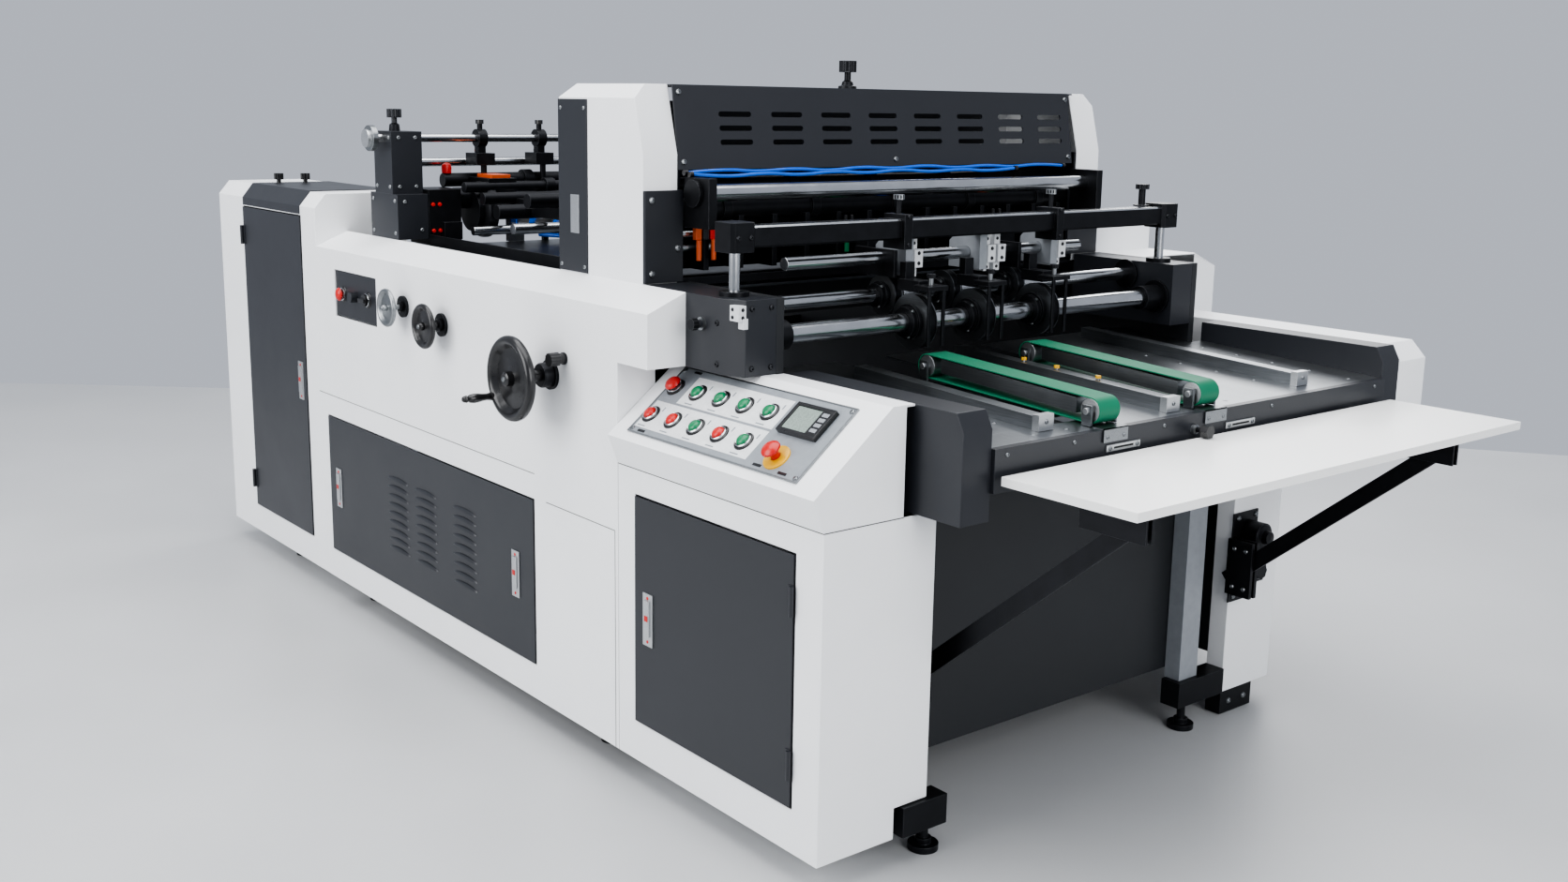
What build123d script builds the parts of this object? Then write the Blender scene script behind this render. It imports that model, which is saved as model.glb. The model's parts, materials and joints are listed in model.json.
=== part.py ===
from build123d import *
from math import atan2, cos, degrees, hypot, radians, sin
import os

# Sheet-fed finishing machine: feeder on the left, tooling in the middle, delivery table on the right.
# X runs with the sheets, Y runs across from the operator's side panel, Z is up, in millimetres.
# The model is built with Y = 0 on the operator's panel, and moved to its centre when it is written.

LENGTH = 3600                 # feeder end to the board's edge
HALF = LENGTH / 2
WIDTH = 1942                  # operator's panel to drive-side panel
REACH = 190                   # how far the crank grip stands in front of the operator's panel
MIDDLE = WIDTH / 2
CENTRE_Y = (WIDTH - REACH) / 2

SHEET = 4                     # thickness of covers and doors
GAP = 3                       # gap round doors and lift-off panels
FIT = 0.05                    # radial clearance of a turning fit

FLOOR_GAP = 63                # underside of the body
FOOT_TOP = 127                # top of the foot brackets at the delivery end
BODY_TOP = 1104               # inner edge of the side panels
PANEL_TOP = 1063              # outer edge of the side panels
PANEL_IN = 98                 # width of the sloping top of a side panel
COLUMN_TOP = 1215
COLUMN_SHOULDER = 1173
COLUMN_BEVEL = 35
COLUMN_DEPTH = 290
COLUMN_END = -995
BODY_END = 750
CONSOLE = (636, 1328)
HEAD_BASE = 726
NOSE = (-26, 792)             # front edge of the sloping console
BROW = (164, 945)             # back edge of the sloping console
RAIL_TOP = 945
NEAR_RAIL_START = 932
RAIL_END = 1457
NEAR_RAIL = (220, 297)
FAR_RAIL = (1645, 1719)
FAR_COVER = (1719, 1842)
NEAR_FRAME = (200, 220)       # side frame plates
FAR_FRAME = (1592, 1612)
NEAR_BLOCK = (98, 200)
FAR_BLOCK = (1510, 1592)
DECK = 1086                   # top of the feed table
TOWER = (238, 587)
TOWER_TOP = 1535

COLUMN_DOOR = ((-1578, -1106), (155, 1143))
ACCESS_PANEL = ((-948, 267), (153, 563))
CABINET_DOOR = ((706, 1246), (157, 667))
FEEDER_PANEL = ((-862, -588), (875, 1004))

MAIN_SHAFT = (880, 1017, 22)       # x, z, radius
COUNTER_SHAFT = (780, 1068, 17)
HOLDER_SHAFT = (800, 1156, 14.5)
REGISTER_SHAFT = (640, 1302, 19)
CROSSBEAM = ((825, 875), (1203, 1249))
FEEDER_BAR = (-727, 1383, 12)
FOOT_X = (-1430, -850, 460)
STATIONS = (640, 880, 1130)         # near face of each knife holder
HUBS = (640, 830, 1050)
BEAM_CLAMPS = (609, 1116)

DECK_FRONT = (1449, 872)           # front top edge of the delivery deck
DECK_FALL = 2.6                    # degrees
BELTS = (610, 940)                 # near edge of each delivery belt
BELT_WIDTH = 62
BELT_THICK = 3
ROLLER_RADIUS = 24
FRONT_ROLLER = (1425, 904)
REAR_ROLLER = (955, 928)

BOARD_HINGE = (1474, 810)
BOARD = ((1484, 1800), (806, 824))
STAY_FOOT = (1290, 400)            # where a stay passes through its clamp
STAY_ANGLE = 39.6
STAY_REACH = 585                   # clamp to the stay's top end, short of the board
STAY_TAILS = (146, 62)
STAYS = ((343, 351), (1381, 1389))

BUTTON_PITCH = 81.5
BUTTON_FIRST = 716
BUTTON_ROWS = (78, 160)            # up the slope from the nose
BUTTON_RADIUS = 14.5
STOP_AT = (1160, 64)
WHEELS = {                         # x, z, distance in front of the panel, rim radius, spindle radius
    "feed_handwheel": (-409, 950, 44, 51, 7),
    "register_handwheel": (-186, 928, 46, 58, 8),
    "main_handwheel": (357, 880, 92, 98, 13),
}
CLAMP_KNOB = (416, 925)


def block(x, y, z):
    """A box between its limits."""
    limits = (x, y, z)
    middle = [(low + high) / 2 for low, high in limits]
    return Pos(*middle) * Box(*[high - low for low, high in limits])


def rod(start, end, radius, bore=0):
    """A round bar or tube between two points."""
    start, end = Vector(*start), Vector(*end)
    section = Circle(radius) - Circle(bore) if bore else Circle(radius)
    return extrude(Plane(origin=start, z_dir=end - start) * section, (end - start).length)


def cross_rod(x, z, y, radius, bore=0):
    """A round bar that runs across the machine."""
    return rod((x, y[0], z), (x, y[1], z), radius, bore)


def across(points, y):
    """An X-Z outline, extruded across the machine."""
    plane = Plane(origin=(0, y[0], 0), x_dir=(1, 0, 0), z_dir=(0, -1, 0))
    return extrude(plane * Polygon(*points, align=None), y[1] - y[0], dir=(0, 1, 0))


def along(points, x):
    """A Y-Z outline, extruded along the machine."""
    plane = Plane(origin=(x[0], 0, 0), x_dir=(0, 1, 0), z_dir=(1, 0, 0))
    return extrude(plane * Polygon(*points, align=None), x[1] - x[0], dir=(1, 0, 0))


def shell(points, x, wall=SHEET):
    """A closed Y-Z outline as a hollow sheet-metal casing."""
    plane = Plane(origin=(x[0] + wall, 0, 0), x_dir=(0, 1, 0), z_dir=(1, 0, 0))
    hollow = offset(Polygon(*points, align=None), -wall, kind=Kind.INTERSECTION)
    return along(points, x) - extrude(plane * hollow, x[1] - x[0] - 2 * wall, dir=(1, 0, 0))


def mirrored(shape):
    """The same piece on the drive side."""
    return mirror(shape, about=Plane(origin=(0, MIDDLE, 0), z_dir=(0, 1, 0)))


def slope_plane(x, up, height):
    """A plane on the sloping console: x, distance up the slope, height above it."""
    run, rise = BROW[0] - NOSE[0], BROW[1] - NOSE[1]
    face = Plane(origin=(0, *NOSE), x_dir=(1, 0, 0), z_dir=(0, -rise, run))
    return face * Pos(x, up, height)


def deck_height(x):
    return DECK_FRONT[1] + (DECK_FRONT[0] - x) * sin(radians(DECK_FALL))


def opening(limits, y=(-10, 40), gap=GAP):
    """The hole for a door or lift-off panel."""
    (x0, x1), (z0, z1) = limits
    return block((x0 - gap, x1 + gap), y, (z0 - gap, z1 + gap))


def door_lock(x, z):
    """A flush swing-handle lock on its plate."""
    plate = block((x - 18, x + 18), (-SHEET - 2, -SHEET + 1), (z - 59, z + 59))
    handle = block((x - 10, x + 10), (-SHEET - 6, -SHEET - 2), (z - 36, z + 44))
    return [plate, handle]


def side_frame(y, front, step):
    """One side frame plate: its lower part, and its upper parts under the deck and round the shafts."""
    x0, x1, x2 = -780, 596, 930
    lower = block((x0, front), y, (150, step))
    under_deck = block((x0, x1), y, (step, DECK - 6))
    bearing = block((x1, x2), y, (step, BODY_TOP))
    for x, z, radius in (MAIN_SHAFT, COUNTER_SHAFT):
        bearing -= cross_rod(x, z, (y[0] - 10, y[1] + 10), radius + FIT)
    return [lower, under_deck, bearing]


def body_frame():
    """Side frames, cross members, long beams, and the dark panels inside the delivery end."""
    solids = side_frame(NEAR_FRAME, 1290, 941) + side_frame(FAR_FRAME, 1195, 850)
    inside = (NEAR_FRAME[1], FAR_FRAME[0])
    for x, z in ((-760, 150), (-100, 150), (700, 150), (-760, 700), (100, 940)):
        solids.append(block((x, x + 80), inside, (z, z + 80)))
    for y, front in (((222, 292), 1290), ((1600, 1670), 1190)):
        solids.append(block((COLUMN_END, front), y, (70, 150)))
    solids.append(block((-1760, -1680), (COLUMN_DEPTH, WIDTH - COLUMN_DEPTH), (70, 150)))
    for x in FOOT_X[1:]:
        arm = block((x - 40, x + 40), (SHEET + 2, 222), (70, 150))
        solids += [arm, block((x - 40, x + 40), (1670, WIDTH - SHEET - 2), (70, 150))]
    for y, top in (((222, 330), 730), ((365, 1340), 780)):
        solids.append(block((1180, 1190), y, (150, top)))
    solids.append(block((1192, 1236), (1230, 1300), (FOOT_TOP, 780)))
    return solids


def levelling_feet():
    """Threaded feet under the frame, and the two brackets at the delivery end."""
    places = [(x, y, 70) for x in FOOT_X[1:] for y in (100, 1842)]
    places += [(FOOT_X[0], 100, FLOOR_GAP), (FOOT_X[0], 1842, FLOOR_GAP)]
    places += [(1300, 310, FLOOR_GAP), (1228, 1258, FLOOR_GAP)]
    solids = []
    for x, y, top in places:
        pad = Pos(x, y, 7) * Cylinder(32, 14)
        stem = rod((x, y, 14), (x, y, top), 10)
        solids.append(pad + stem + rod((x, y, 14), (x, y, 26), 17))
    solids.append(block((1290, 1338), (216, 337), (FLOOR_GAP, FOOT_TOP)))
    solids.append(block((1196, 1250), (1215, 1394), (FLOOR_GAP, FOOT_TOP)))
    solids.append(block((1200, 1244), (1396, 1525), (3, FLOOR_GAP)))
    return solids


def panel_sheets():
    """The sheets of a side panel: upright face, sloping top and two folded ends."""
    step = PANEL_TOP - SHEET
    face = block((COLUMN_END, BODY_END), (0, SHEET), (FLOOR_GAP, step))
    outline = [(0, step), (0, PANEL_TOP), (PANEL_IN, BODY_TOP), (PANEL_IN, BODY_TOP - SHEET), (SHEET, step)]
    slope = along(outline, (COLUMN_END, BODY_END))
    folded = [(SHEET, FLOOR_GAP), (SHEET, step), (PANEL_IN, BODY_TOP - SHEET), (PANEL_IN, FLOOR_GAP)]
    return [face, slope] + [along(folded, (x, x + SHEET)) for x in (COLUMN_END, BODY_END - SHEET)]


def side_panel(doors, holes):
    """The sheets of a side panel in one piece, with their openings."""
    face, slope, first, last = panel_sheets()
    panel = face + slope + first + last
    for limits in doors:
        panel -= opening(limits)
    for x, z, radius in holes:
        panel -= cross_rod(x, z, (-10, 40), radius)
    return panel


def operator_side_panel():
    holes = [(x, z, spindle + 2) for x, z, out, rim, spindle in WHEELS.values()]
    panel = side_panel([ACCESS_PANEL, FEEDER_PANEL], holes + [(*CLAMP_KNOB, 8)])
    start, step = CONSOLE[0] - 1, BROW[1] + 1
    panel -= block((start, BODY_END + 1), (-10, 110), (FLOOR_GAP - 1, step))
    shelf = block((start - SHEET, BODY_END), (0, PANEL_IN), (step, step + SHEET))
    cheek = block((start - SHEET, start), (SHEET, PANEL_IN), (NOSE[1] + 18, step + SHEET))
    return [panel + shelf + cheek]


def column_cover():
    """One hollow column at the feeder end."""
    outline = [(0, FLOOR_GAP), (0, COLUMN_SHOULDER), (COLUMN_BEVEL, COLUMN_TOP),
               (COLUMN_DEPTH, COLUMN_TOP), (COLUMN_DEPTH, FLOOR_GAP)]
    return shell(outline, (-HALF, COLUMN_END))


def column_covers():
    plain = column_cover()
    return [plain - opening(COLUMN_DOOR), mirrored(plain)]


def hinge_barrel(x, z):
    return rod((x, -9, z - 30), (x, -9, z + 30), 5)


def door(limits, hinge_x, lock):
    """A swinging door: sheet, two hinge barrels and its lock."""
    (x0, x1), (z0, z1) = limits
    sheet = block((x0, x1), (-SHEET + 1, 1), (z0, z1))
    solids = [sheet]
    inner = x0 + 14 if hinge_x < x0 + 20 else x1 - 14
    for z in (z0 + 90, z1 - 90):
        leaf = block(sorted((hinge_x, inner)), (-SHEET - 1, -SHEET + 1), (z - 30, z + 30))
        solids.append(leaf + hinge_barrel(hinge_x, z))
    return solids + door_lock(*lock)


def column_door():
    return door(COLUMN_DOOR, COLUMN_DOOR[0][0] - 2, (-1140, 640))


def cabinet_door():
    return door(CABINET_DOOR, CABINET_DOOR[0][1] + 2, (759, 403))


def access_panel():
    (x0, x1), (z0, z1) = ACCESS_PANEL
    sheet = block((x0, x1), (-SHEET + 1, 1), (z0, z1))
    return [sheet] + door_lock(181, 360) + door_lock(-880, 355)


def console_cabinet():
    outline = [(0, FLOOR_GAP), (0, HEAD_BASE), (199, HEAD_BASE), (199, FLOOR_GAP)]
    flange = block((CONSOLE[1] - SHEET, CONSOLE[1]), (199, 288), (FOOT_TOP + 2, HEAD_BASE))
    return [shell(outline, CONSOLE) - opening(CABINET_DOOR) + flange]


def console_head():
    outline = [(0, HEAD_BASE), NOSE, BROW, (199, BROW[1]), (199, HEAD_BASE)]
    head = shell(outline, CONSOLE)
    for x, up in button_places():
        head -= slope_plane(x, up, 0) * Cylinder(9, 16)
    lip = block((NEAR_RAIL_START, CONSOLE[1]), (199, NEAR_FRAME[1]), (BROW[1] - 4, BROW[1]))
    return [head - slope_plane(*STOP_AT, 0) * Cylinder(11, 16) + lip]


def button_places():
    """The ten push buttons, row by row: x and distance up the slope."""
    return [(BUTTON_FIRST + BUTTON_PITCH * i, up) for up in BUTTON_ROWS for i in range(5)]


def control_plate():
    plate = slope_plane(972, 121, 1.5) * Box(564, 192, 3)
    for x, up in button_places():
        plate -= slope_plane(x, up, 1.5) * Cylinder(9, 12)
    plate -= slope_plane(*STOP_AT, 1.5) * Cylinder(11, 12)
    return [plate]


def button_bezels():
    rings = [slope_plane(x, up, 6) * (Cylinder(19, 6) - Cylinder(15, 6)) for x, up in button_places()]
    collar = slope_plane(*STOP_AT, 5) * (Cylinder(29, 4) - Cylinder(12, 4))
    return rings + [collar]


def button(x, up):
    cap = slope_plane(x, up, 11) * Cylinder(BUTTON_RADIUS, 6)
    stem = slope_plane(x, up, 5.5) * Cylinder(8, 5)
    return [cap + stem]


def emergency_stop():
    stem = slope_plane(*STOP_AT, 14) * Cylinder(10, 22)
    head = slope_plane(*STOP_AT, 31) * Cylinder(20, 12)
    return [chamfer(head.edges().filter_by(GeomType.CIRCLE), 3) + stem]


def display_unit():
    bezel = slope_plane(1164, 158, 7) * Box(110, 70, 8)
    return [bezel - slope_plane(1164, 158, 10) * Box(90, 52, 3)]


def feeder_panel():
    """Recessed panel with the feeder's own switches."""
    (x0, x1), (z0, z1) = FEEDER_PANEL
    plate = block((x0, x1), (4, 7), (z0, z1))
    plate -= cross_rod(-815, 940, (0, 10), 9)
    plate -= cross_rod(-650, 940, (0, 10), 9)
    jog = cross_rod(-730, 940, (-16, 4), 15)
    return [plate, jog]


def feeder_stop():
    stem = cross_rod(-815, 940, (-14, 14), 8.9)
    return [stem + cross_rod(-815, 940, (-26, -14), 18)]


def feeder_selector():
    dial = cross_rod(-650, 940, (-10, 2), 17)
    return [dial + cross_rod(-650, 940, (2, 14), 8.9) + block((-670, -630), (-18, -10), (935, 945))]


def panel_fittings():
    """Flanged bearings of the handwheels and the clamp knob's bush."""
    solids = []
    for x, z, out, rim, spindle in WHEELS.values():
        flange = cross_rod(x, z, (-8, 0), spindle + 22, spindle + FIT)
        solids.append(flange + cross_rod(x, z, (0, 30), spindle + 1.5, spindle + FIT))
    x, z = CLAMP_KNOB
    solids.append(cross_rod(x, z, (-6, 0), 14, 6 + FIT))
    return solids


def handwheel(name):
    """A spoked handwheel on its spindle, 60 mm of which is inside the panel."""
    x, z, out, rim, spindle = WHEELS[name]
    depth = 0.24 * rim
    wheel = cross_rod(x, z, (-out - depth, -out), rim, 0.8 * rim)
    wheel += cross_rod(x, z, (-out - depth, -out + 8), spindle + 9)
    for turn in range(3):
        angle = radians(30 + 120 * turn)
        end = (x + 0.85 * rim * cos(angle), -out - depth / 2, z + 0.85 * rim * sin(angle))
        wheel += rod((x, -out - depth / 2, z), end, 0.09 * rim)
    return [wheel + cross_rod(x, z, (-out, 60), spindle)]


def grip_place():
    """Axis of the crank grip, on the main handwheel's rim."""
    x, z, out, rim, spindle = WHEELS["main_handwheel"]
    angle = radians(215)
    return x + 0.9 * rim * cos(angle), z + 0.9 * rim * sin(angle)


def main_handwheel():
    x, z = grip_place()
    out, rim = WHEELS["main_handwheel"][2:4]
    front = -out - 0.24 * rim
    pin = cross_rod(x, z, (-REACH + 6, front + 4), 4)
    wheel = handwheel("main_handwheel")[0]
    return [wheel + pin + cross_rod(x, z, (-REACH, -REACH + 6), 7)]


def crank_grip():
    x, z = grip_place()
    out, rim = WHEELS["main_handwheel"][2:4]
    front = -out - 0.24 * rim
    return [cross_rod(x, z, (-REACH + 6.5, front - 1), 11, 4 + FIT)]


def clamp_knob():
    x, z = CLAMP_KNOB
    return [cross_rod(x, z, (-42, -18), 15) + cross_rod(x, z, (-18, 24), 6)]


def tower_bevel(y, drop):
    """Prism that takes the tower casing's top edge off at 45 degrees, from drop below the top at y."""
    above = TOWER_TOP + 1
    return along([(y, TOWER_TOP - drop), (y, above), (y + drop + 1, above)], (TOWER[0] - 1, TOWER[1] + 1))


def tower_covers():
    """White casings each side of the tooling."""
    x0, x1 = TOWER
    outline = [(x0, DECK), (x1, DECK), (x1, 1384), (547, TOWER_TOP), (x0 + 30, TOWER_TOP),
               (x0, TOWER_TOP - 32)]
    inner = [(x0 + SHEET, DECK), (x1 - SHEET, DECK), (x1 - SHEET, 1383), (544, TOWER_TOP - SHEET),
             (x0 + 32, TOWER_TOP - SHEET), (x0 + SHEET, TOWER_TOP - 34)]
    low_y, high_y = PANEL_IN, 189
    casing = across(outline, (low_y, high_y)) - tower_bevel(low_y - 1, 32)
    hollow = across(inner, (low_y + SHEET, high_y + 1)) - tower_bevel(low_y - 1, 38)
    near = casing - hollow
    shift = FAR_FRAME[0] + 10 - WIDTH + PANEL_IN
    return [near, Pos(0, shift, 0) * mirrored(near)]


def tower_guards():
    """Dark sheets: tower fronts, end plates, roof, feeder-side guard and the column's cap."""
    far_out = FAR_FRAME[0] + 10
    solids = [block((TOWER[0], 363), (PANEL_IN - 3, PANEL_IN), (BODY_TOP + 2, 1500)),
              block((TOWER[0], 363), (far_out, far_out + 3), (1190, 1500))]
    for y in ((PANEL_IN, 199), (1480, far_out)):
        solids.append(block((587, 596), y, (BODY_TOP + 1, 1307)))
    solids.append(block((270, 560), (189, 1511), (TOWER_TOP - SHEET, TOWER_TOP)))
    solids.append(block((TOWER[0], TOWER[0] + SHEET), (189, 1511), (1240, 1500)))
    knob = rod((520, 736, 1576), (520, 736, 1600), 20)
    solids.append(knob + rod((520, 736, TOWER_TOP), (520, 736, 1576), 8))
    cap = [(-2, COLUMN_SHOULDER - 24), (-2, COLUMN_SHOULDER), (COLUMN_BEVEL - 1, COLUMN_TOP + 3),
           (COLUMN_DEPTH, COLUMN_TOP + 3), (COLUMN_DEPTH, COLUMN_TOP), (COLUMN_BEVEL, COLUMN_TOP),
           (0, COLUMN_SHOULDER), (0, COLUMN_SHOULDER - 24)]
    solids.append(along(cap, COLUMN_DOOR[0]))
    return solids


def slotted_guard():
    """The slanted cover over the tooling, with eight columns of three slots."""
    outline = [(561, TOWER_TOP), (565, TOWER_TOP), (592, 1351), (588, 1351)]
    guard = across(outline, (190, 1486))
    for column in range(8):
        for row in range(3):
            x, y, z = 577, 355 + 150 * column, 1472 - 31 * row
            guard -= block((x - 30, x + 30), (y - 40, y + 40), (z - 6, z + 6))
            for end in (-40, 40):
                guard -= rod((x - 30, y + end, z), (x + 30, y + end, z), 6)
    return [guard]


def bearing_blocks():
    """The blocks that carry the knife shafts, one on each side frame."""
    low, high = NEAR_BLOCK
    plan = [(596, low), (878, low), (930, low + 22), (930, high), (596, high)]
    near = extrude(Pos(0, 0, RAIL_TOP) * Polygon(*plan, align=None), BODY_TOP - RAIL_TOP, dir=(0, 0, 1))
    far = block((596, 930), FAR_BLOCK, (RAIL_TOP, BODY_TOP))
    for x, z, radius in (MAIN_SHAFT, COUNTER_SHAFT):
        near -= cross_rod(x, z, (150, 210), radius + FIT)
        far -= cross_rod(x, z, (1500, 1600), radius + FIT)
    knob = cross_rod(810, 1045, (72, low), 9)
    shaft_x, shaft_z, shaft_radius = REGISTER_SHAFT
    ends = [block((597, 690), (NEAR_FRAME[0], 222), (1226, 1336)),
            block((597, 690), (1478, 1500), (1226, 1336))]
    ends = [end - cross_rod(shaft_x, shaft_z, (190, 1510), shaft_radius) for end in ends]
    return [near, far, knob] + ends


def hub(x, z, y, radius, bore):
    """A knife hub: a disc between two stepped collars."""
    disc = cross_rod(x, z, (y - 9, y + 9), radius, bore)
    disc += cross_rod(x, z, (y - 22, y + 22), 0.68 * radius, bore)
    return disc + cross_rod(x, z, (y - 34, y + 34), 0.5 * radius + 5, bore)


def knife_shaft(place, hub_radius, ends):
    x, z, radius = place
    solids = [cross_rod(x, z, ends, radius)]
    for y in HUBS:
        solids.append(hub(x, z, y, hub_radius, radius))
    return solids


def main_shaft():
    x, z, radius = MAIN_SHAFT
    solids = knife_shaft(MAIN_SHAFT, 60, (152, 1590))
    solids.append(cross_rod(x, z, (224, 262), 32, radius))
    solids.append(cross_rod(x, z, (1440, 1506), 31, radius))
    return solids


def counter_shaft():
    return knife_shaft(COUNTER_SHAFT, 46, (152, 1590))


def tie_bars():
    """The bar the knife holders slide on, and the bar behind it that carries the hose clips."""
    x, z, radius = HOLDER_SHAFT
    holder = cross_rod(x, z, (322, 1279), radius)
    x, z, radius = REGISTER_SHAFT
    return [holder, cross_rod(x, z, (NEAR_FRAME[0], 1500), radius)]


def knife_holders():
    """Grey plates that hang from the crossbeam, with white clamp blocks."""
    bar_x, bar_z, bar_radius = HOLDER_SHAFT
    solids = []
    outline = [(742, 1118), (742, 1180), (766, 1202), (846, 1202), (846, 1118)]
    for station, y in enumerate(STATIONS):
        plate = across(outline, (y, y + 24)) - cross_rod(bar_x, bar_z, (y - 1, y + 25), bar_radius)
        solids.append(plate)
        starts = (y + 24, y + 58) if station == 1 else (y + 24,)
        for start in starts:
            clamp = block((778, 836), (start, start + 20), (1112, 1200))
            clamp += block((836, 850), (start, start + 26), (1134, 1176))
            solids.append(clamp - cross_rod(bar_x, bar_z, (start - 1, start + 27), bar_radius))
    return solids


def crossbeam():
    """The beam with its end blocks, posts with flanges, and the clamps that slide on it."""
    (x0, x1), (z0, z1) = CROSSBEAM
    x = (x0 + x1) / 2
    beam = block((x0, x1), (182, 1518), (z0, z1))
    solids = [chamfer(beam.edges().filter_by(Axis.Y), 4)]
    for y in (150, 1550):
        end = block((x0 - 9, x1 + 9), (y - 32, y + 32), (z0 - 8, z1 + 8))
        solids.append(chamfer(end.edges().filter_by(Axis.Z), 8))
        post = rod((x, y, BODY_TOP), (x, y, z0 - 8), 12)
        solids.append(post + rod((x, y, BODY_TOP), (x, y, BODY_TOP + 10), 32))
    screw = rod((x0 - 1, 1500, z1), (x0 - 1, 1500, z1 + 4), 22)
    solids.append(screw + rod((x0 - 1, 1500, z1 + 4), (x0 - 1, 1500, z1 + 46), 9)
                  + rod((x0 - 1, 1500, z1 + 46), (x0 - 1, 1500, z1 + 56), 17))
    for y in BEAM_CLAMPS:
        collar = block((x0 - 10, x1 + 10), (y - 12, y + 12), (z0 - 22, z1 + 10))
        collar -= block((x0, x1), (y - 20, y + 20), (z0, z1))
        solids.append(collar + rod((x, y, z1 + 10), (x, y, z1 + 44), 6)
                      + rod((x, y, z1 + 44), (x, y, z1 + 52), 12))
    return solids


def deck_plate(x, y, drop=0):
    """A plate of the sloping delivery deck."""
    top = [(x[0], deck_height(x[0]) - drop), (x[1], deck_height(x[1]) - drop)]
    return across(top + [(x[1], top[1][1] - SHEET), (x[0], top[0][1] - SHEET)], y)


def delivery_deck():
    """Deck plates: the front strip, three lanes, and the two lower lanes that the belts run in."""
    front, back, wide = DECK_FRONT[0], 700, 932
    near, far = NEAR_FRAME[1], FAR_FRAME[0]
    solids = [deck_plate((front - 70, front), (NEAR_RAIL[1], FAR_RAIL[0]))]
    solids += [deck_plate((wide, front - 70), lane) for lane in ((NEAR_RAIL[1], 560), (1050, FAR_RAIL[0]))]
    solids += [deck_plate((back, wide), lane) for lane in ((near, 560), (1050, far))]
    solids.append(deck_plate((back, front - 70), (720, 905)))
    solids += [deck_plate((back, front - 70), lane, 40) for lane in ((560, 720), (905, 1050))]
    solids.append(block((760, 800), (near, far), (780, 828)))
    solids.append(block((1140, 1180), (NEAR_RAIL[1], far), (780, 828)))
    return solids


def belt_loop(y):
    """One flat belt round its two rollers."""
    (fx, fz), (rx, rz) = FRONT_ROLLER, REAR_ROLLER
    angle = degrees(atan2(fz - rz, fx - rx))
    centre = Pos((fx + rx) / 2, y[0], (fz + rz) / 2)
    span = hypot(fx - rx, fz - rz)
    inside = ROLLER_RADIUS + 0.3
    outer = SlotCenterToCenter(span, 2 * (inside + BELT_THICK))
    band = extrude(outer - SlotCenterToCenter(span, 2 * inside), BELT_WIDTH)
    return centre * Rot(0, -angle, 0) * Rot(-90, 0, 0) * band


def delivery_belts():
    return [belt_loop((y, y + BELT_WIDTH)) for y in BELTS]


def belt_rollers(place):
    """The rollers of one end of the belts, each with its own axle."""
    x, z = place
    solids = []
    for y in BELTS:
        solids.append(cross_rod(x, z, (y - 14, y + BELT_WIDTH + 14), 7))
        solids.append(cross_rod(x, z, (y + 1, y + BELT_WIDTH - 1), ROLLER_RADIUS, 7))
    return solids


def belt_carriers():
    """The bar inside each belt loop, and the cheeks that hold the roller axles."""
    (fx, fz), (rx, rz) = FRONT_ROLLER, REAR_ROLLER
    solids = []
    for y in BELTS:
        low = [(rx + 40, rz - 12), (fx - 40, fz - 12), (fx - 40, fz + 20), (rx + 40, rz + 20)]
        solids.append(across(low, (y + 6, y + BELT_WIDTH - 6)))
        for x, z in (FRONT_ROLLER, REAR_ROLLER):
            for start in (y - 10, y + BELT_WIDTH + 4):
                cheek = block((x - 12, x + 12), (start, start + 6), (deck_height(x) + 1, z + 12))
                solids.append(cheek - cross_rod(x, z, (start - 1, start + 7), 7 + FIT))
    return solids


def sheet_guides():
    """Two side channels and the middle rail, which follow the slope of the deck."""
    solids = []
    for y, start, stop, height in ((480, 860, 1400, 28), (852, 800, 1425, 30), (1362, 760, 1400, 28)):
        width = 34
        low = [(start, deck_height(start)), (stop, deck_height(stop))]
        high = [(stop, deck_height(stop) + height), (start, deck_height(start) + height)]
        rail = across(low + high, (y, y + width))
        low = [(start - 1, deck_height(start) - 5), (stop + 1, deck_height(stop) - 5)]
        high = [(stop + 1, deck_height(stop) + height - 3), (start - 1, deck_height(start) + height - 3)]
        solids.append(rail - across(low + high, (y + 3, y + width - 3)))
    return solids


def front_rail():
    rail = block((DECK_FRONT[0], 1466), (NEAR_RAIL[1], FAR_RAIL[0]), (786, DECK_FRONT[1]))
    knob = rod((1466, 900, 839), (1492, 900, 839), 5) + rod((1492, 900, 839), (1508, 900, 839), 13)
    plates = [block((1466, 1470), (y, y + 104), (826, 840)) for y in (615, 1010)]
    x, z = BOARD_HINGE
    for y in (420, 1420):
        plates.append(cross_rod(x, z, (y, y + 90), 5) + block((1466, x), (y, y + 90), (z - 2, z + 2)))
    return [rail, knob] + plates


def rail_cover(y):
    """A dark casing along the delivery table, with a sloping front corner."""
    start = NEAR_RAIL_START
    outline = [(start, 731), (RAIL_END, 731), (RAIL_END, 910), (1438, RAIL_TOP), (start, RAIL_TOP)]
    return across(outline, y)


def rail_covers():
    return [rail_cover(NEAR_RAIL), rail_cover(FAR_RAIL)]


def drive_side_covers():
    """White casings on the drive side: the body panel, the rail casing and the gear box cover."""
    outline = [(BODY_END, 731), (RAIL_END, 731), (RAIL_END, 905), (1418, RAIL_TOP), (BODY_END, RAIL_TOP)]
    rail = across(outline, FAR_COVER)
    box = block((TOWER[0], 590), (FAR_FRAME[0] + 13, FAR_COVER[1]), (DECK, 1185))
    lid = block((590, BODY_END), (FAR_FRAME[1], WIDTH - PANEL_IN), (BODY_TOP - SHEET, BODY_TOP))
    return [rail, box, lid] + [mirrored(sheet) for sheet in panel_sheets()]


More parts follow.
